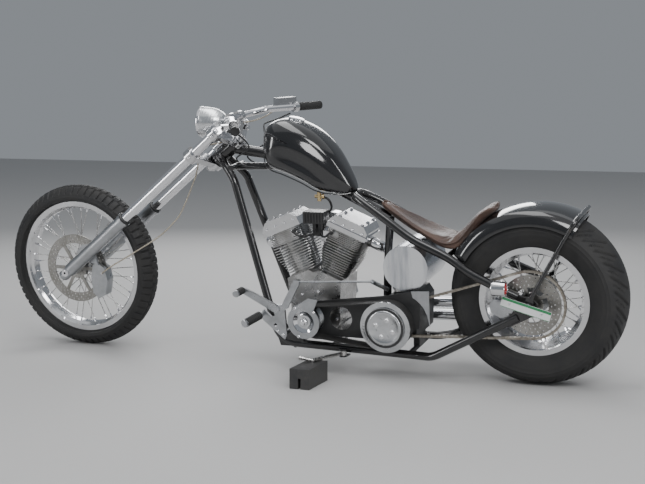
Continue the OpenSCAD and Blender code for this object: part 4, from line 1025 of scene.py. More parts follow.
@dataclass
class Tank:
    """The high, narrow tank: a teardrop that runs up from the seat to the neck."""

    half_w: float = 118.0
    top: tuple = ((704, 713), (718, 750), (748, 806), (788, 868), (848, 928), (915, 966), (985, 985),
                  (1036, 973), (1064, 945), (1072, 908))
    bottom: tuple = ((706, 709), (736, 697), (800, 699), (850, 712), (902, 742), (970, 772),
                     (1030, 792), (1052, 816), (1064, 860), (1071, 902))
    plan: tuple = ((704, 0.04), (712, 0.25), (730, 0.42), (770, 0.64), (830, 0.85), (900, 0.97),
                   (980, 1.0), (1030, 0.9), (1056, 0.72), (1068, 0.45), (1073, 0.1))

    def build(self) -> None:
        """The tank as a body between its top and bottom lines, with a raised seam along its foot."""
        top, bottom = section_lines(list(self.top), list(self.bottom), 72)
        x = (top[:, 0] + bottom[:, 0]) / 2
        plan = np.asarray(self.plan, dtype=float)
        half = self.half_w * np.interp(x, plan[:, 0], plan[:, 1])
        half = np.convolve(np.pad(half, 3, mode="edge"), np.ones(7) / 7, mode="valid")
        half[0], half[-1] = 2, 4
        valley = 0.11 * np.sin(math.pi * np.clip((x - 716) / 300, 0, 1)) ** 1.3
        v = np.linspace(0, 2 * math.pi, 64, endpoint=False)
        rise, reach = np.sin(v), np.sign(np.cos(v)) * np.abs(np.cos(v)) ** 0.62
        rise = np.where(rise > 0, np.abs(rise) ** 0.9, -np.abs(rise) ** 0.62)
        centre, lift = (top * 0.42 + bottom * 0.58), top - bottom
        up = np.where(rise > 0, 0.58, 0.42)
        rings = centre[:, None] + lift[:, None] * (rise * up)[None, :, None]
        crease = np.exp(-((np.sin(v) + 0.02) / 0.15) ** 2) + 0.6 * np.exp(-((np.sin(v) - 0.62) / 0.14) ** 2)
        rings[..., 1] += half[:, None] * reach * (1 - valley[:, None] * crease)
        piece("tank_shell", loft(rings).moved(STANCE.place), Look.GLOSS_BLACK, "frame", Edge.SMOOTH,
              subdivide=1, stands_for=("fuel_tank",))
        seam = [centre[4:-3] + lift[4:-3] * -0.40 + np.column_stack(
            [np.zeros(len(x) - 7), side * half[4:-3] * 0.83, np.zeros(len(x) - 7)]) for side in (1, -1)]
        piece("tank_seams", join([tube(s, 2.4, 8) for s in seam]).moved(STANCE.place),
              Look.GLOSS_BLACK, "frame")
        self.cap()

    @staticmethod
    def cap() -> None:
        """The filler cap: a knurled rim with a shallow domed top, square to the tank's crown."""
        turn = math.radians(-16)
        axis = np.array([math.sin(turn), 0, math.cos(turn)])
        foot = np.array([950.0, 0, 966]) + axis * 6
        line = foot + axis * np.array([0, 1, 9, 11.5, 12.6, 13])[:, None]
        cap = tube(line, np.array([30, 32, 32, 30, 20, 4.0]), 60)
        ridge = np.arange(len(cap.verts)) % 60 % 2 == 0
        body = slice(60, 180)
        middle_line = np.repeat(line, 60, axis=0)
        out = cap.verts - middle_line
        scale = np.ones(len(cap.verts))
        scale[body] = np.where(ridge[body], 1.0, 0.95)
        cap.verts = middle_line + out * scale[:, None]
        piece("filler_cap", cap.moved(STANCE.place), Look.POLISHED, "frame",
              stands_for=("fuel_cap",))


@dataclass
class Seat:
    """The low sprung seat: dished leather that turns up behind, laced along its edge."""

    half_w: float = 104.0
    top: tuple = ((604, 668), (596, 671), (560, 643), (500, 607), (430, 572), (365, 553), (318, 553),
                  (280, 574), (240, 613), (206, 648), (180, 664), (160, 666), (150, 658))
    bottom: tuple = ((604, 660), (590, 646), (540, 612), (470, 574), (400, 546), (345, 527), (300, 524),
                     (272, 538), (240, 572), (208, 612), (176, 640), (158, 648), (150, 652))
    plan: tuple = ((140, 0.62), (170, 0.80), (200, 0.95), (260, 1.0), (330, 1.0), (400, 0.9),
                   (470, 0.72), (540, 0.5), (590, 0.34), (606, 0.22))

    def lines(self) -> tuple[Array, Array, Array]:
        """Top line, bottom line and half-widths of the seat's sections."""
        top, bottom = section_lines(list(self.top), list(self.bottom), 64)
        plan = np.asarray(self.plan, dtype=float)
        half = self.half_w * np.interp((top[:, 0] + bottom[:, 0]) / 2, plan[:, 0], plan[:, 1])
        half = np.convolve(np.pad(half, 2, mode="edge"), np.ones(5) / 5, mode="valid")
        ends = np.clip(np.minimum(np.arange(64), np.arange(64)[::-1]) / 5, 0.05, 1)
        return top, bottom, half * np.sqrt(ends * (2 - ends))

    def rings(self, shrink: float) -> Array:
        """The pad's sections: full at the sides, hollowed along the top, with sides that hang down.

        Args:
            shrink: the share taken off the height; the half-width loses 60 mm times it.

        Returns:
            (n, m, 3) rings in the motorcycle's own frame.
        """
        top, bottom, half = self.lines()
        v = np.linspace(0, 2 * math.pi, 72, endpoint=False)
        rise = np.sign(np.sin(v)) * np.abs(np.sin(v)) ** 0.55
        reach = np.sign(np.cos(v)) * np.abs(np.cos(v)) ** 0.45
        centre, lift = (top + bottom) / 2, (top - bottom) / 2
        rings = centre[:, None] + lift[:, None] * (rise * (1 - shrink))[None, :, None]
        rings[..., 1] += (half - 60 * shrink)[:, None] * reach
        wing = np.abs(reach)[None, :] ** 2.2
        along = (centre[:, 0] - 150) / 450
        drop = 26 * np.exp(-((along - 0.30) / 0.24) ** 2) - 6
        crown = 5 * np.cos(np.clip(reach, -1, 1) * math.pi)[None, :] * (rise > 0)
        rings[..., 2] -= drop[:, None] * wing + crown * (half / self.half_w)[:, None]
        return rings

    def build(self) -> None:
        """Make the pad, swell it as cloth, and lace its edge."""
        obj = piece("seat_pad", loft(self.rings(0.06)).moved(STANCE.place), Look.LEATHER, "frame",
                    Edge.SMOOTH, stands_for=("seat",))
        self.swell(obj)
        smooth = obj.modifiers.new("smooth", "SUBSURF")
        smooth.levels = smooth.render_levels = 1
        self.lacing(obj)

    @staticmethod
    def swell(obj: bpy.types.Object) -> None:
        """Remesh the pad evenly and let cloth pressure round it, with each point's move capped.

        Args:
            obj: the pad, whose mesh is changed.
        """
        scene = bpy.context.scene
        for other in scene.objects:
            other.select_set(False)
        bpy.context.view_layer.objects.active = obj
        obj.select_set(True)
        mesh = obj.modifiers.new("even", "REMESH")
        mesh.mode, mesh.voxel_size, mesh.use_smooth_shade = "VOXEL", 0.005, True
        bpy.ops.object.modifier_apply(modifier=mesh.name)
        rest = np.empty(len(obj.data.vertices) * 3)
        obj.data.vertices.foreach_get("co", rest)
        cloth = obj.modifiers.new("cloth", "CLOTH")
        cloth.settings.use_pressure = True
        cloth.settings.uniform_pressure_force = 3.0
        cloth.settings.effector_weights.gravity = 0
        cloth.settings.tension_stiffness = cloth.settings.compression_stiffness = 25
        cloth.settings.quality = 6
        cloth.point_cache.frame_start, cloth.point_cache.frame_end = 1, 16
        for number in range(1, 17):
            scene.frame_set(number)
        solved = obj.evaluated_get(bpy.context.evaluated_depsgraph_get()).to_mesh()
        moved = np.empty(len(solved.vertices) * 3)
        solved.vertices.foreach_get("co", moved)
        obj.modifiers.remove(cloth)
        step = (moved - rest).reshape(-1, 3)
        length = np.linalg.norm(step, axis=1, keepdims=True)
        cap = 0.006
        step *= np.minimum(1, cap / np.maximum(length, 1e-9))
        obj.data.vertices.foreach_set("co", (rest.reshape(-1, 3) + step).ravel())
        obj.data.update()
        scene.frame_set(1)
        log.info("seat swelled by up to %.1f mm", 1000 * float(np.linalg.norm(step, axis=1).max()))

    def lacing(self, obj: bpy.types.Object) -> None:
        """A welt round the seat's widest line and short stitches that cross it, laid on the pad.

        Args:
            obj: the finished pad that they lie on.
        """
        tree = BVHTree.FromObject(obj, bpy.context.evaluated_depsgraph_get())
        rings = STANCE.place(self.rings(0.0))
        loop = np.vstack([rings[2:-2, 4], rings[2:-2, 32][::-1]])
        found = [tree.find_nearest(Vector(p)) for p in loop]
        spot = np.array([f[0] for f in found])
        normal = np.array([f[1] for f in found])
        spot = sum(np.roll(spot, k, axis=0) for k in (-1, 0, 1)) / 3
        closed = np.vstack([spot, spot[:1]])
        welt = tube((closed + np.vstack([normal, normal[:1]]) * 0.0008) / MM, 2.6, 10)
        piece("seat_welt", Shell(welt.verts * MM, welt.faces), Look.LEATHER, "frame", Edge.SMOOTH)
        length = np.concatenate([[0], np.cumsum(np.linalg.norm(np.diff(closed, axis=0), axis=1))])
        at = np.arange(0.004, length[-1], 0.009)
        both = np.column_stack([np.interp(at, length, closed[:, k]) for k in range(3)])
        round_normal = np.vstack([normal, normal[:1]])
        out = np.column_stack([np.interp(at, length, round_normal[:, k]) for k in range(3)])
        ahead = np.gradient(both, axis=0)
        ahead /= np.linalg.norm(ahead, axis=1, keepdims=True)
        across = np.cross(out, ahead)
        stitches = []
        for p, n, c, a in zip(both, out, across, ahead):
            line = np.array([p - 5e-3 * c - 1e-3 * n, p - 3e-3 * c + 2.2e-3 * n, p + a * 1e-3 + 3.4e-3 * n,
                             p + 3e-3 * c + 2.2e-3 * n, p + 5e-3 * c - 1e-3 * n])
            stitches.append(tube(line / MM, 0.9, 5))
        shell = join(stitches)
        piece("seat_stitches", Shell(shell.verts * MM, shell.faces), Look.THREAD, "frame", Edge.SMOOTH)


@dataclass
class Rear:
    """Fender strut, tail light and number plate."""

    strut_r: float = 8.0

    def strut(self) -> None:
        """A hoop of tube over the fender, from one axle plate to the other, with flat feet."""
        side_y, lift = 136, 357.5
        edge = (277.5 * math.cos(math.radians(116)), 330 + 277.5 * math.sin(math.radians(116)))
        top = (lift * math.cos(math.radians(117)), 330 + lift * math.sin(math.radians(117)))
        half = [[-10, 186.4, 366], [edge[0], side_y, edge[1]], [top[0], side_y, top[1]]]
        path = bent_path(half + flip(np.array(half[::-1])).tolist(), 44, 12)
        made = [tube(path, self.strut_r, 20)]
        a = np.linspace(-math.pi, 0, 14)
        foot = [(2, 374), (-22, 374)] + [(20.7 * math.cos(k), 330 + 20.7 * math.sin(k)) for k in a]
        for side in (1, -1):
            y0, y1 = sorted((side * 186.2, side * 191.0))
            made.append(plate(foot, y0, y1))
        piece("fender_hoop", join(made).moved(STANCE.place), Look.FRAME_BLACK, "frame",
              stands_for=("fender_strut",))

    def light(self) -> None:
        """The tail light: a polished can open to the rear, a red lens of small lamps and a stem."""
        can = turn([(82, 22.5), (74, 23.5), (72, 25.5), (73.5, 27), (116, 27), (123, 24.5), (126, 19),
                    (126, 0.6), (120, 0.6), (84, 0.6)], (212, 404), 48)
        stem = tube(bent_path([[100, 212, 382], [100, 206, 372], [100, 184, 376]], 6), 5.5, 16)
        piece("tail_light_can", join([can, stem]).moved(STANCE.place), Look.POLISHED, "frame",
              stands_for=("tail_light",))
        lens = turn([(83, 0.6), (83, 22.3), (75.5, 22.3), (74, 20), (73.2, 12), (73, 0.6)], (212, 404), 48)
        piece("tail_light_lens", lens.moved(STANCE.place), Look.RED, "frame")
        spots = [(73.4, 212 + 6.5 * i, 404 + 6.5 * j) for i in range(-2, 3) for j in range(-2, 3)
                 if i * i + j * j < 8]
        piece("tail_light_lamps", prisms(np.array(spots), (-1, 0, 0), 2.2, 1.2, 8, 0.8)
              .moved(STANCE.place), Look.RED, "frame", Edge.SMOOTH)

    def number_plate(self) -> None:
        """The side-hung plate keeps its white field; a green band runs along its top edge."""
        turn = math.radians(15.5)
        def on_plate(p: Array) -> Array:
            """Points of the plate's own flat frame, turned and placed in the row frame."""
            x, z = p[..., 0], p[..., 2]
            return STANCE.place(np.stack([2 + x * math.cos(turn) - z * math.sin(turn), p[..., 1],
                                          334 + x * math.sin(turn) + z * math.cos(turn)], -1))
        w, h, b = 92, 18, 10
        bars = []
        for x0, x1, z0, z1 in ((-w, w, h - b, h - 0.4), (-w, w, 0.4 - h, 2 - h)):
            bars.append(plate([(x0 + 1, z0), (x1 - 1, z0), (x1 - 1, z1), (x0 + 1, z1)], 208.2, 209.0))
        piece("number_plate_band", join(bars).moved(on_plate), Look.GREEN, "frame")
        bolts = prisms(np.array([[-60, 208.6, 0], [60, 208.6, 0]]), (0, 1, 0), 4, 2.5, 6, 0.4)
        piece("number_plate_bolts", bolts.moved(on_plate), Look.CHROME, "frame")

    def build(self) -> None:
        """Make the strut, light and plate trim."""
        self.strut()
        self.light()
        self.number_plate()


# ---------------------------------------------------------------------------------------------
# Engine and drive
# ---------------------------------------------------------------------------------------------

@dataclass
class Drive:
    """Belt, chain, exhaust, fasteners and leads round the engine."""

    crank: tuple[float, float] = (866.0, 227.0)
    clutch: tuple[float, float] = (535.0, 229.0)
    wheel: tuple[float, float] = (0.0, 330.0)
    vee: float = math.radians(45.0)
    inner_plates: tuple = ((131.8, 133.6), (140.4, 142.2))
    outer_plates: tuple = ((129.8, 131.6), (142.4, 144.2))
    pitch: float = 15.875

    def on_cylinder(self, side: int, points: Array) -> Array:
        """Points in a cylinder's own frame, z up the barrel, turned forward or back by half the vee."""
        a = side * self.vee / 2
        x, y, z = points[..., 0], points[..., 1], points[..., 2]
        return np.stack([self.crank[0] + x * math.cos(a) + z * math.sin(a), y,
                         self.crank[1] - x * math.sin(a) + z * math.cos(a)], -1)

    @staticmethod
    def loop(a: tuple, ra: float, b: tuple, rb: float, spacing: float) -> tuple[Array, Array, float]:
        """Evenly spaced points on a belt line round two circles joined by tangents.

        Args:
            a: middle of the first circle.
            ra: its radius.
            b: middle of the second circle.
            rb: its radius.
            spacing: distance between points, which is eased to fit the loop an even number of times.

        Returns:
            The points, the step from each to the next, and the eased spacing.
        """
        span = math.dist(a, b)
        lean = math.atan2(b[1] - a[1], b[0] - a[0])
        opening = math.acos((ra - rb) / span)
        t = np.linspace(0, 1, 200)[:, None]
        arc_a = lean + opening + (2 * math.pi - 2 * opening) * t
        arc_b = lean - opening + 2 * opening * t
        line = np.vstack([np.array(a) + ra * np.hstack([np.cos(arc_a), np.sin(arc_a)]),
                          np.array(b) + rb * np.hstack([np.cos(arc_b), np.sin(arc_b)])])
        line = np.vstack([line, line[:1]])
        step = np.concatenate([[0], np.cumsum(np.linalg.norm(np.diff(line, axis=0), axis=1))])
        count = 2 * round(step[-1] / spacing / 2)
        at = np.arange(count) * step[-1] / count
        spots = np.column_stack([np.interp(at, step, line[:, k]) for k in (0, 1)])
        nxt = np.column_stack([np.interp((at + step[-1] / count) % step[-1], step, line[:, k])
                               for k in (0, 1)])
        return spots, nxt - spots, step[-1] / count

    def chain(self) -> None:
        """The drive chain: a roller at each pitch, and plates that alternate inside and outside."""
        spots, ahead, pitch = self.loop(self.wheel, 125.5, self.clutch, 52.1, self.pitch)
        a = np.linspace(0, 2 * math.pi, 16, endpoint=False)
        waist = 3.9 + 3.2 * np.abs(np.cos(a)) ** 1.6
        u = 0.5 * pitch + (0.5 * pitch + 6.4) * np.sign(np.cos(a)) * np.abs(np.cos(a)) ** 0.7
        w = waist * np.sign(np.sin(a)) * np.abs(np.sin(a)) ** 0.6
        shells = []
        for inside in (0, 1):
            p, d = spots[inside::2], ahead[inside::2]
            d = d / np.linalg.norm(d, axis=1, keepdims=True)
            n = np.column_stack([-d[:, 1], d[:, 0]])
            for y0, y1 in (self.inner_plates if inside else self.outer_plates):
                flat = p[:, None] + u[None, :, None] * d[:, None] + w[None, :, None] * n[:, None]
                rings = np.stack([np.stack([flat[..., 0], np.full(flat.shape[:2], y), flat[..., 1]], -1)
                                  for y in (y0, y1)], axis=1)
                shells += [loft(r) for r in rings]
        rollers = [tube(np.array([[x, 129.2, z], [x, 144.8, z]]), 4.4, 8) for x, z in spots]
        piece("drive_chain_links", join(shells + rollers).moved(STANCE.place), Look.CHAIN, "frame",
              Edge.CRISP, stands_for=("drive_chain",))

    def belt(self) -> None:
        """The primary belt: a flat band round both pulleys with a rounded tooth at each pitch inside."""
        y0, y1, pitch = 154.0, 205.0, 8.0
        spots, ahead, _ = self.loop(self.crank, 58.0, self.clutch, 94.0, pitch / 4)
        n = np.column_stack([-ahead[:, 1], ahead[:, 0]])
        n /= np.linalg.norm(n, axis=1, keepdims=True)
        phase = np.arange(len(spots)) % 4
        tooth = np.choose(phase, [2.6, 2.6, 5.2, 5.2])[:, None]
        outer, inner = spots, spots + n * tooth
        def at(p: Array, y: float) -> Array:
            """Points of a flat line, set at one distance from the middle plane."""
            return np.column_stack([p[:, 0], np.full(len(p), y), p[:, 1]])
        rings = np.stack([at(outer, y0), at(outer, y1), at(inner, y1), at(inner, y0)], axis=1)
        piece("primary_belt_band", loft(rings, closed=True).moved(STANCE.place), Look.BELT, "frame",
              Edge.CRISP, stands_for=("primary_belt",))

    def exhaust(self) -> None:
        """Two swept pipes with open, thin-walled ends."""
        port, out = 170 + 132 + 0.1 + 24, np.array([math.cos(self.vee / 2), 0, -math.sin(self.vee / 2)])
        front = np.array([866 + port * math.sin(self.vee / 2), -30, 227 + port * math.cos(self.vee / 2)])
        front = front + 86.1 * out
        back = out * [-1, 1, 1]
        rear = np.array([2 * 866 - front[0], -30, front[2]])
        runs = [[front, front + 36 * out, [1030, -146, 436], [985, -152, 262], [900, -152, 190],
                 [820, -152, 172], [420, -198, 172], [190, -208, 172]],
                [rear, rear + 36 * back, [640, -146, 436], [600, -152, 262], [530, -162, 232],
                 [250, -198, 232]]]
        shell = join([hollow_tube(bent_path(r, 44, 10), 22, 2.0) for r in runs])
        piece("exhaust_tubes", shell.moved(STANCE.place), Look.CHROME, "frame", Edge.CREASED,
              stands_for=("exhaust_pipes",))

    def fasteners(self) -> None:
        """Hexagonal bolts on the rocker boxes, crankcase, pulley guard and foot plates."""
        spots = np.array([[x, y, 348 + 54] for x in (-48, 48) for y in (-60, 0, 60)], dtype=float)
        side_spots = np.array([[x, 72, 348 + 26] for x in (-62, -21, 21, 62)], dtype=float)
        for side, tag in ((1, "front"), (-1, "rear")):
            washers = prisms(spots - [0, 0, 0.5], (0, 0, 1), 9, 1.6, 16)
            top = prisms(spots, (0, 0, 1), 6.5, 6, 6, 0.8) + washers
            flank = prisms(side_spots, (0, 1, 0), 5.5, 5, 6, 0.8)
            shell = (top + flank).moved(lambda v, k=side: STANCE.place(self.on_cylinder(k, v)))
            piece(f"rocker_bolts_{tag}", shell, Look.CHROME, "frame")
        a = np.radians(np.arange(0, 360, 45) + 10)
        case = np.column_stack([866 + 92 * np.cos(a), np.full(8, 90), 227 + 92 * np.sin(a)])
        guard = np.array([[866 + 62 * math.cos(k), 215, 227 + 62 * math.sin(k)] for k in (1.05, 5.06, 2.4)])
        peg = np.array([[952, 213, 172], [974, 213, 186]], dtype=float)
        shell = join([prisms(case, (0, 1, 0), 6, 5, 6, 0.8), prisms(guard, (0, 1, 0), 6, 5, 6, 0.8),
                      prisms(peg, (0, 1, 0), 6.5, 6, 6, 0.8)])
        piece("case_bolts", shell.moved(STANCE.place), Look.CHROME, "frame")

    def clutch_face(self) -> None:
        """The clutch basket's toothed edge and a stepped ring on its cover."""
        teeth, y0, y1 = 48, 206.5, 212.5
        angle = np.linspace(0, 2 * math.pi, teeth * 4, endpoint=False)
        r = np.where(np.arange(teeth * 4) % 4 < 2, 98.0, 94.5)
        x, z = self.clutch[0] + r * np.cos(angle), self.clutch[1] + r * np.sin(angle)
        inner = 78.5
        xi, zi = self.clutch[0] + inner * np.cos(angle), self.clutch[1] + inner * np.sin(angle)
        def at(x: Array, y: float, z: Array) -> Array:
            """A ring of points at one distance from the middle plane."""
            return np.column_stack([x, np.full(len(x), y), z])
        rings = np.stack([at(x, y0, z), at(x, y1, z), at(xi, y1 + 1.5, zi), at(xi, y0, zi)], axis=1)
        piece("clutch_basket_edge", loft(rings, closed=True).moved(STANCE.place), Look.SPUN, "frame",
              Edge.CRISP, axis=middle("clutch_drum"))
        domed = np.array([[0.6, 223.4], [24, 223.6], [52, 224.4], [57, 227], [62, 227.6], [66, 226],
                          [68, 223], [68, 221], [0.6, 221]], dtype=float)
        piece("clutch_cover_face", spin(domed, 96, self.clutch).moved(STANCE.place), Look.SPUN, "frame",
              axis=middle("clutch_drum"))
        # A ring set a little below the cover's rim and coloured satin black: the groove is real, but its
        # darkness is painted shade.
        groove = np.array([[68.2, 223.2], [76.5, 223.2], [78.4, 222], [78.4, 218], [68.2, 218]])
        piece("clutch_groove_painted_shade", spin(groove, 96, self.clutch).moved(STANCE.place), Look.PLASTIC, "frame")
        a = np.radians(20 + 90 * np.arange(4))
        heads = np.column_stack([self.clutch[0] + 34 * np.cos(a), np.full(4, 223.0),
                                 self.clutch[1] + 34 * np.sin(a)])
        bolts = prisms(heads, (0, 1, 0), 7, 5, 6, 0.8) + prisms(heads, (0, 1, 0), 10, 1.8, 20)
        nut = prisms(np.array([[self.crank[0], 207, self.crank[1]]]), (0, 1, 0), 15, 13, 6, 2)
        cup = spin(np.array([[27, 199], [38, 203], [45, 208.5], [47, 209], [47, 207], [27, 196.0]]), 72,
                   self.crank)
        piece("drive_bolts", (bolts + nut).moved(STANCE.place), Look.CHROME, "frame")
        piece("pulley_cup", cup.moved(STANCE.place), Look.CHROME, "frame")

    def heads(self) -> None:
        """Finned heads: a core, fins of rounded squares that grow upwards, plug bosses and ports."""
        t = np.linspace(0, 2 * math.pi, 48, endpoint=False)
        square = np.column_stack([np.sign(np.cos(t)) * np.abs(np.cos(t)) ** 0.32,
                                  np.sign(np.sin(t)) * np.abs(np.sin(t)) ** 0.32])
        both = []
        for side in (1, -1):
            made = [loft(np.stack([np.column_stack([square * [60, 60], np.full(48, z)])
                                   for z in (302.2, 347.8)]))]
            for number, z in enumerate(np.linspace(305, 341.5, 6)):
                flat = square * (np.array([76.0, 71.0]) + 0.7 * number)
                made.append(loft(np.stack([np.column_stack([flat, np.full(48, z + dz)])
                                           for dz in (0, 2.8)])))
            made.append(prisms(np.array([[side * -40.0, 50, 326]]), (0, 1, 0), 17, 22, 24, 3))
            made.append(tube(np.array([[side * 50, -30, 326.1], [side * 84, -30, 326.1],
                                       [side * 86, -30, 326.1]]), np.array([21, 21, 19.5]), 36))
            both.append(join(made).moved(lambda v, k=side: STANCE.place(self.on_cylinder(k, v))))
        piece("cylinder_head_castings", join(both), Look.CAST_METAL, "frame", Edge.CRISP,
              stands_for=("cylinder_heads",))

    def footrests(self) -> None:
        """Ribbed rubber sleeves on the pegs and pedals, with aluminium ends, on both sides."""
        y0 = 203.0
        rubber, ends = [], []
        for flipped in (False, True):
            for a, b, r in (([1034, y0 + 44, 252], [1060, y0 + 128, 240], 15.0),
                            ([1108, y0 + 34, 345], [1108, y0 + 90, 345], 13.0)):
                p, q = np.array(a, dtype=float), np.array(b, dtype=float)
                ahead = (q - p) / np.linalg.norm(q - p)
                steps = np.linspace(0, np.linalg.norm(q - p) - 9, 37)
                swell = r + 0.4 + 1.0 * (np.arange(37) % 4 < 2)
                line = p + steps[:, None] * ahead
                cap = q + np.array([-8, 0, 1.0, 1.6])[:, None] * ahead
                if flipped:
                    line, cap = line * [1, -1, 1], cap * [1, -1, 1]
                rubber.append(tube(line, swell, 28))
                ends.append(tube(cap, np.array([r + 0.6, r + 0.6, r - 1, r - 5]), 28))
        piece("peg_sleeves", join(rubber).moved(STANCE.place), Look.GRIP, "frame", Edge.CRISP)
        piece("peg_ends", join(ends).moved(STANCE.place), Look.SATIN, "frame")

    def gusset(self) -> None:
        """The pale gusset plate behind the clutch, hollowed on its front edge."""
        a = np.radians(np.linspace(62, -8, 14))
        hollow = [(self.clutch[0] - 40 - 112 * math.cos(k), self.clutch[1] + 6 + 112 * math.sin(k))
                  for k in a]
        outline = [(378, 222), (378, 362), (448, 358)] + hollow[:10]
        piece("gearbox_gusset", plate(outline[::-1], 150.3, 155.0).moved(STANCE.place), Look.SATIN,
              "frame", Edge.CREASED, bevel=0.0006)

    def leads(self) -> None:
        """Two plug leads from the coil box, one to each head, and a fuel line from the tap."""
        plugs = []
        for side, start in ((1, [869, 51, 562]), (-1, [845, 51, 562])):
            end = self.on_cylinder(side, np.array([side * -52.0, 84, 330]))
            mid = (np.array(start) + end) / 2 + [side * 6, 30, -18]
            plugs.append(tube(smooth_path([start, np.array(start) + [0, 4, -22], mid,
                                           end + [0, 16, 4], end], 8), 4.2, 12))
            boot = np.array([end + [0, 10, 2], end, end - [0, 8, 2]])
            plugs.append(tube(boot, np.array([6.5, 7, 6]), 12))
        piece("plug_leads", join(plugs).moved(STANCE.place), Look.CABLE, "frame", Edge.SMOOTH)
        line = smooth_path([[824, 62, 690], [800, 62, 676], [800, 40, 640], [838, 10, 600],
                            [862, -20, 560], [866, -40, 540]], 8)
        piece("fuel_line", tube(line, 4.5, 12).moved(STANCE.place), Look.CABLE, "frame", Edge.SMOOTH)

    def build(self) -> None:
        """Make the drive's pieces and dress the engine's nodes."""
        self.chain()
        self.belt()
        self.exhaust()
        self.fasteners()
        self.clutch_face()
        self.leads()
        self.heads()
        self.footrests()
        self.gusset()
        crank = tuple(STANCE.place(np.array([self.crank[0], 0, self.crank[1]])))
        for node in ("crankcase", "cylinders"):
            dress(node, Look.CAST_METAL)
        for node in ("rocker_boxes", "cam_cover", "air_cleaner"):
            dress(node, Look.POLISHED)
        dress("pushrod_tubes", Look.CHROME)
        dress("coil_box", Look.PLASTIC)
        dress("primary_plate", Look.PLASTIC)
        dress("engine_pulley", Look.SPUN, crank)
        dress("pulley_guard", Look.SATIN)
        dress("clutch_drum", Look.SPUN, middle("clutch_drum"))
        dress("gearbox", Look.PLASTIC)
        # The oil tank's metal carries painted reflection streaks in its colour.
        dress("oil_tank", Look.BUFFED)
        dress("fuel_tap", Look.BRASS)


# ---------------------------------------------------------------------------------------------
# Fork, bars and cables
# ---------------------------------------------------------------------------------------------

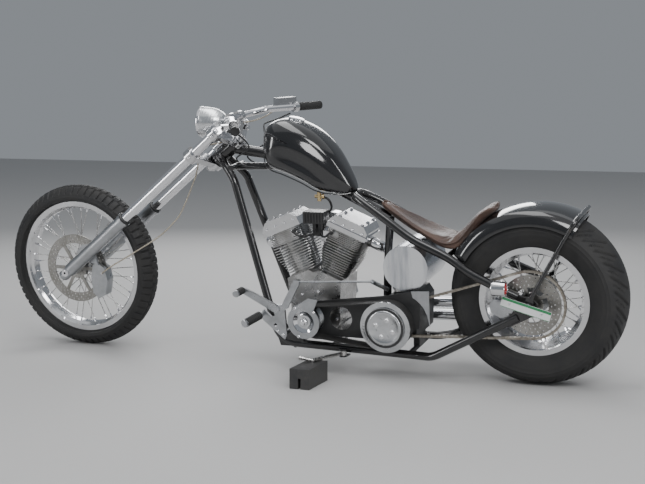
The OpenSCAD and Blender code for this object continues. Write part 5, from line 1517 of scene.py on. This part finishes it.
@dataclass
class FrontEnd:
    """Handlebar, brake hose, cables, headlight trim and the fork's finishes."""

    bar: tuple[float, float, float] = field(default_factory=lambda: FORK.at(991, 18, 0))

    def handlebar(self) -> None:
        """One tube: straight through the clamps, then back to each grip."""
        b = np.array(self.bar)
        half = [b + [0, 92, 0], b + [-64, 160, 13], b + [-195, 400, 2]]
        path = bent_path([flip(p) for p in half[::-1]] + half, 90, 14)
        piece("handlebar_tube", tube(path, 12.7, 28).moved(STANCE.place), Look.CHROME, "steering",
              stands_for=("handlebar",))

    def hose(self) -> None:
        """The front brake hose from the caliper up the near leg, through the yokes to the lever."""
        b = np.array(self.bar)
        route = [[1840, 84, 330], [1824, 97, 342], [1800, 96, 358], [1765, 90, 380], [1720, 84, 405],
                 [1665, 78, 437], [1605, 70, 472], [1550, 62, 508], [1500, 56, 552], [1455, 50, 605],
                 FORK.at(690, -66, 44), FORK.at(738, -40, 46), FORK.at(775, -12, 50), FORK.at(805, 4, 52),
                 FORK.at(840, 2, 46), FORK.at(868, -12, 26), FORK.at(884, -22, 0), FORK.at(898, -16, -30),
                 FORK.at(915, -2, -54), FORK.at(938, 6, -66), FORK.at(965, 0, -74), FORK.at(985, -14, -92),
                 b + [-38, -122, -24], b + [-56, -158, -16], b + [-66, -192, -6], b + [-72, -222, 2],
                 b + [-80, -243, 8]]
        line = smooth_path([list(p) for p in route], 6)
        piece("brake_hose_sleeve", tube(line, 3.0, 14).moved(STANCE.place), Look.HOSE, "steering",
              Edge.SMOOTH, stands_for=("front_brake_hose",))
        ends = join([tube(line[:5], 5, 12), tube(line[-5:], 5, 12)])
        piece("brake_hose_ends", ends.moved(STANCE.place), Look.CHROME, "steering")

    def cables(self) -> None:
        """Clutch and throttle cables from the bars into the frame behind the neck."""
        b = np.array(self.bar)
        routes = {"clutch_cable": [b + [-118, 262, -4], b + [-70, 210, -26], b + [-40, 150, -36],
                                   b + [-62, 100, -56], b + [-84, 66, -110], [1190, 52, 830],
                                   [1160, 44, 800], [1120, 34, 792], [1080, 26, 790]],
                  "throttle_cable": [b + [-122, -262, -16], b + [-84, -210, -34], b + [-58, -150, -44],
                                     b + [-76, -100, -62], b + [-94, -62, -110], [1190, -50, 828],
                                     [1160, -44, 798], [1120, -34, 790], [1080, -26, 788]]}
        for name, route in routes.items():
            obj = make_object(name, tube(smooth_path([list(p) for p in route], 10), 3.2, 12)
                              .moved(STANCE.place), Edge.SMOOTH)
            obj.data.materials.append(WORKSHOP.make(Look.CABLE.value))
            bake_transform(obj)
            log.info("%s bends between steering and frame", name)

    def lamp(self) -> None:
        """The headlight's bezel ring and its bulb cover, in the reflector's bright finish, seen through the
        glass.
        """
        at = np.array(FORK.at(907, 62, 0))
        bezel = turn([(at[0] + x, r) for x, r in
                      ((42, 57), (42, 61.5), (50, 62.5), (55, 61), (56, 58), (54, 56))], (at[1], at[2]))
        piece("headlight_bezel", bezel.moved(STANCE.place), Look.CHROME, "steering")
        line = at + np.array([[40, 0, 0], [46, 0, 0], [49, 0, 0], [50, 0, 0]], dtype=float)
        piece("headlight_bulb_cover", tube(line, np.array([14, 14, 11, 3.0]), 28).moved(STANCE.place),
              Look.REFLECTOR, "steering")

    def fork_trim(self) -> None:
        """Pinch bolts on the yokes, a cap on each leg, and a scraper ring on each slider."""
        def on_fork(v: Array) -> Array:
            """Points given as (d, y, s) in the fork's directions, placed in the row frame."""
            s, d = v[..., 2], v[..., 0]
            x, y, z = FORK.at(s, d, v[..., 1])
            return STANCE.place(np.stack([x, y, z], -1))
        legs = np.array([[0, side * 125, 957] for side in (1, -1)], dtype=float)
        caps = prisms(legs, (0, 0, 1), 15, 7, 6, 1.5) + prisms(legs - [0, 0, 1], (0, 0, 1), 19.5, 3, 32)
        pins = np.array([[-8, side * 157, s] for side in (1, -1) for s in (799, 935)], dtype=float)
        heads = join([prisms(pins[k:k + 1] * [1, 0.985, 1], (0, 1 if pins[k, 1] > 0 else -1, 0),
                             5.5, 6, 12, 0.5) for k in range(len(pins))])
        piece("fork_caps", (caps + heads).moved(on_fork), Look.CHROME, "steering")
        t = np.linspace(0, 2 * math.pi, 48, endpoint=False)[:, None]
        profile = np.array([[21.2, 372], [24, 370], [28, 372], [28, 378], [24, 381], [21.2, 380]])
        rings = []
        for side in (1, -1):
            rings.append(loft(np.stack([profile[:, 0] * np.cos(t), side * 125 + profile[:, 0] * np.sin(t),
                                        np.broadcast_to(profile[:, 1], (48, 6))], -1), closed=True))
        piece("slider_scrapers", join(rings).moved(on_fork), Look.CABLE, "steering")

    def build(self) -> None:
        """Make the front end's pieces and dress its nodes."""
        self.hose()
        self.cables()
        self.handlebar()
        self.lamp()
        self.fork_trim()
        for node, look in {"steering_yokes": Look.POLISHED, "fork_tubes": Look.CHROME,
                           "fork_sliders": Look.SATIN, "front_axle": Look.CHROME,
                           "front_caliper": Look.SATIN, "headlight": Look.BRUSHED,
                           "headlight_lens": Look.GLASS, "grips": Look.GRIP,
                           "brake_master_cylinder": Look.POLISHED, "clutch_lever": Look.POLISHED}.items():
            dress(node, look)


# ---------------------------------------------------------------------------------------------
# Studio
# ---------------------------------------------------------------------------------------------

@dataclass
class Studio:
    """Pale floor, soft lights and the camera."""

    eye: tuple[float, float, float] = (-2.007, 4.491, 1.053)
    aim: tuple[float, float, float] = (0.3786, -0.9186, -0.1132)
    lens: float = 70.2

    def camera(self) -> None:
        """The camera, level, along its aim."""
        data = bpy.data.cameras.new("camera")
        data.lens, data.sensor_width, data.clip_end = self.lens, 36.0, 100.0
        cam = bpy.data.objects.new("camera", data)
        cam.location = self.eye
        cam.rotation_euler = Vector(self.aim).to_track_quat("-Z", "Y").to_euler()
        bpy.context.scene.collection.objects.link(cam)
        bpy.context.scene.camera = cam

    @staticmethod
    def light(name: str, at: tuple, towards: tuple, wide: float, tall: float, power: float) -> None:
        """A soft box of the given width and height, aimed at a point."""
        data = bpy.data.lights.new(name, "AREA")
        data.shape, data.size, data.size_y, data.energy = "RECTANGLE", wide, tall, power
        lamp = bpy.data.objects.new(name, data)
        lamp.location = at
        lamp.rotation_euler = (Vector(towards) - Vector(at)).to_track_quat("-Z", "Y").to_euler()
        bpy.context.scene.collection.objects.link(lamp)

    def build(self) -> None:
        """Floor, world and three soft lights."""
        floor = make_object("floor", Shell(np.array([[-14, -14, 0], [14, -14, 0], [14, 14, 0],
                                                     [-14, 14, 0], [-14, -14, -0.02], [14, -14, -0.02],
                                                     [14, 14, -0.02], [-14, 14, -0.02]], dtype=float),
                                          [[0, 1, 2, 3], [7, 6, 5, 4], [0, 4, 5, 1], [1, 5, 6, 2],
                                           [2, 6, 7, 3], [3, 7, 4, 0]]))
        mat = bpy.data.materials.new("studio_floor")
        mat.use_nodes = True
        mat.node_tree.nodes["Principled BSDF"].inputs["Base Color"].default_value = (0.50, 0.495, 0.49, 1)
        mat.node_tree.nodes["Principled BSDF"].inputs["Roughness"].default_value = 0.75
        floor.data.materials.append(mat)
        world = bpy.data.worlds.new("studio")
        bpy.context.scene.world = world
        world.use_nodes = True
        world.node_tree.nodes["Background"].inputs["Color"].default_value = (0.82, 0.88, 0.95, 1)
        world.node_tree.nodes["Background"].inputs["Strength"].default_value = 0.30
        self.light("key", (-2.4, 3.6, 3.4), (0, 0, 0.4), 2.2, 1.6, 100)
        self.light("top", (0.3, 0.2, 3.8), (0, 0, 0.4), 4.0, 1.4, 60)
        self.light("sky", (0, 0, 7.5), (0, 0, 0), 14.0, 14.0, 260)
        self.light("strip_ahead", (3.6, 3.4, 1.5), (0, 0, 0.5), 0.5, 2.6, 45)
        self.light("strip_behind", (-4.2, 1.2, 1.6), (0, 0, 0.5), 0.5, 2.6, 40)
        self.light("far_side", (1.6, -4.0, 2.4), (0, 0, 0.5), 3.0, 1.2, 80)


def main() -> None:
    """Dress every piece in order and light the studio."""
    logging.basicConfig(level=logging.INFO, format="%(name)s: %(message)s")
    studio = Studio()
    studio.camera()
    FrontEnd().build()
    Wheel("front", 1970.0, FORK.axle_z, 348, 120, 62, 282, 74, Tread.BLOCK, 66, 5.0, "front_disc").build()
    Wheel("rear", 0.0, 330.0, 330, 230, 190, 204, 190, Tread.SWEPT, 34, 6.0, "rear_sprocket").build()
    Frame().build()
    Tank().build()
    Seat().build()
    Rear().build()
    Drive().build()
    for node, look in {"rear_fender": Look.GLOSS_BLACK, "left_foot_control": Look.SATIN,
                       "right_foot_control": Look.SATIN, "stand_block": Look.BLOCK,
                       "number_plate": Look.WHITE, "rear_caliper": Look.SATIN,
                       "rear_axle": Look.STEEL, "side_stand": Look.STEEL}.items():
        dress(node, look)
    studio.build()


if __name__ == "__main__":
    main()
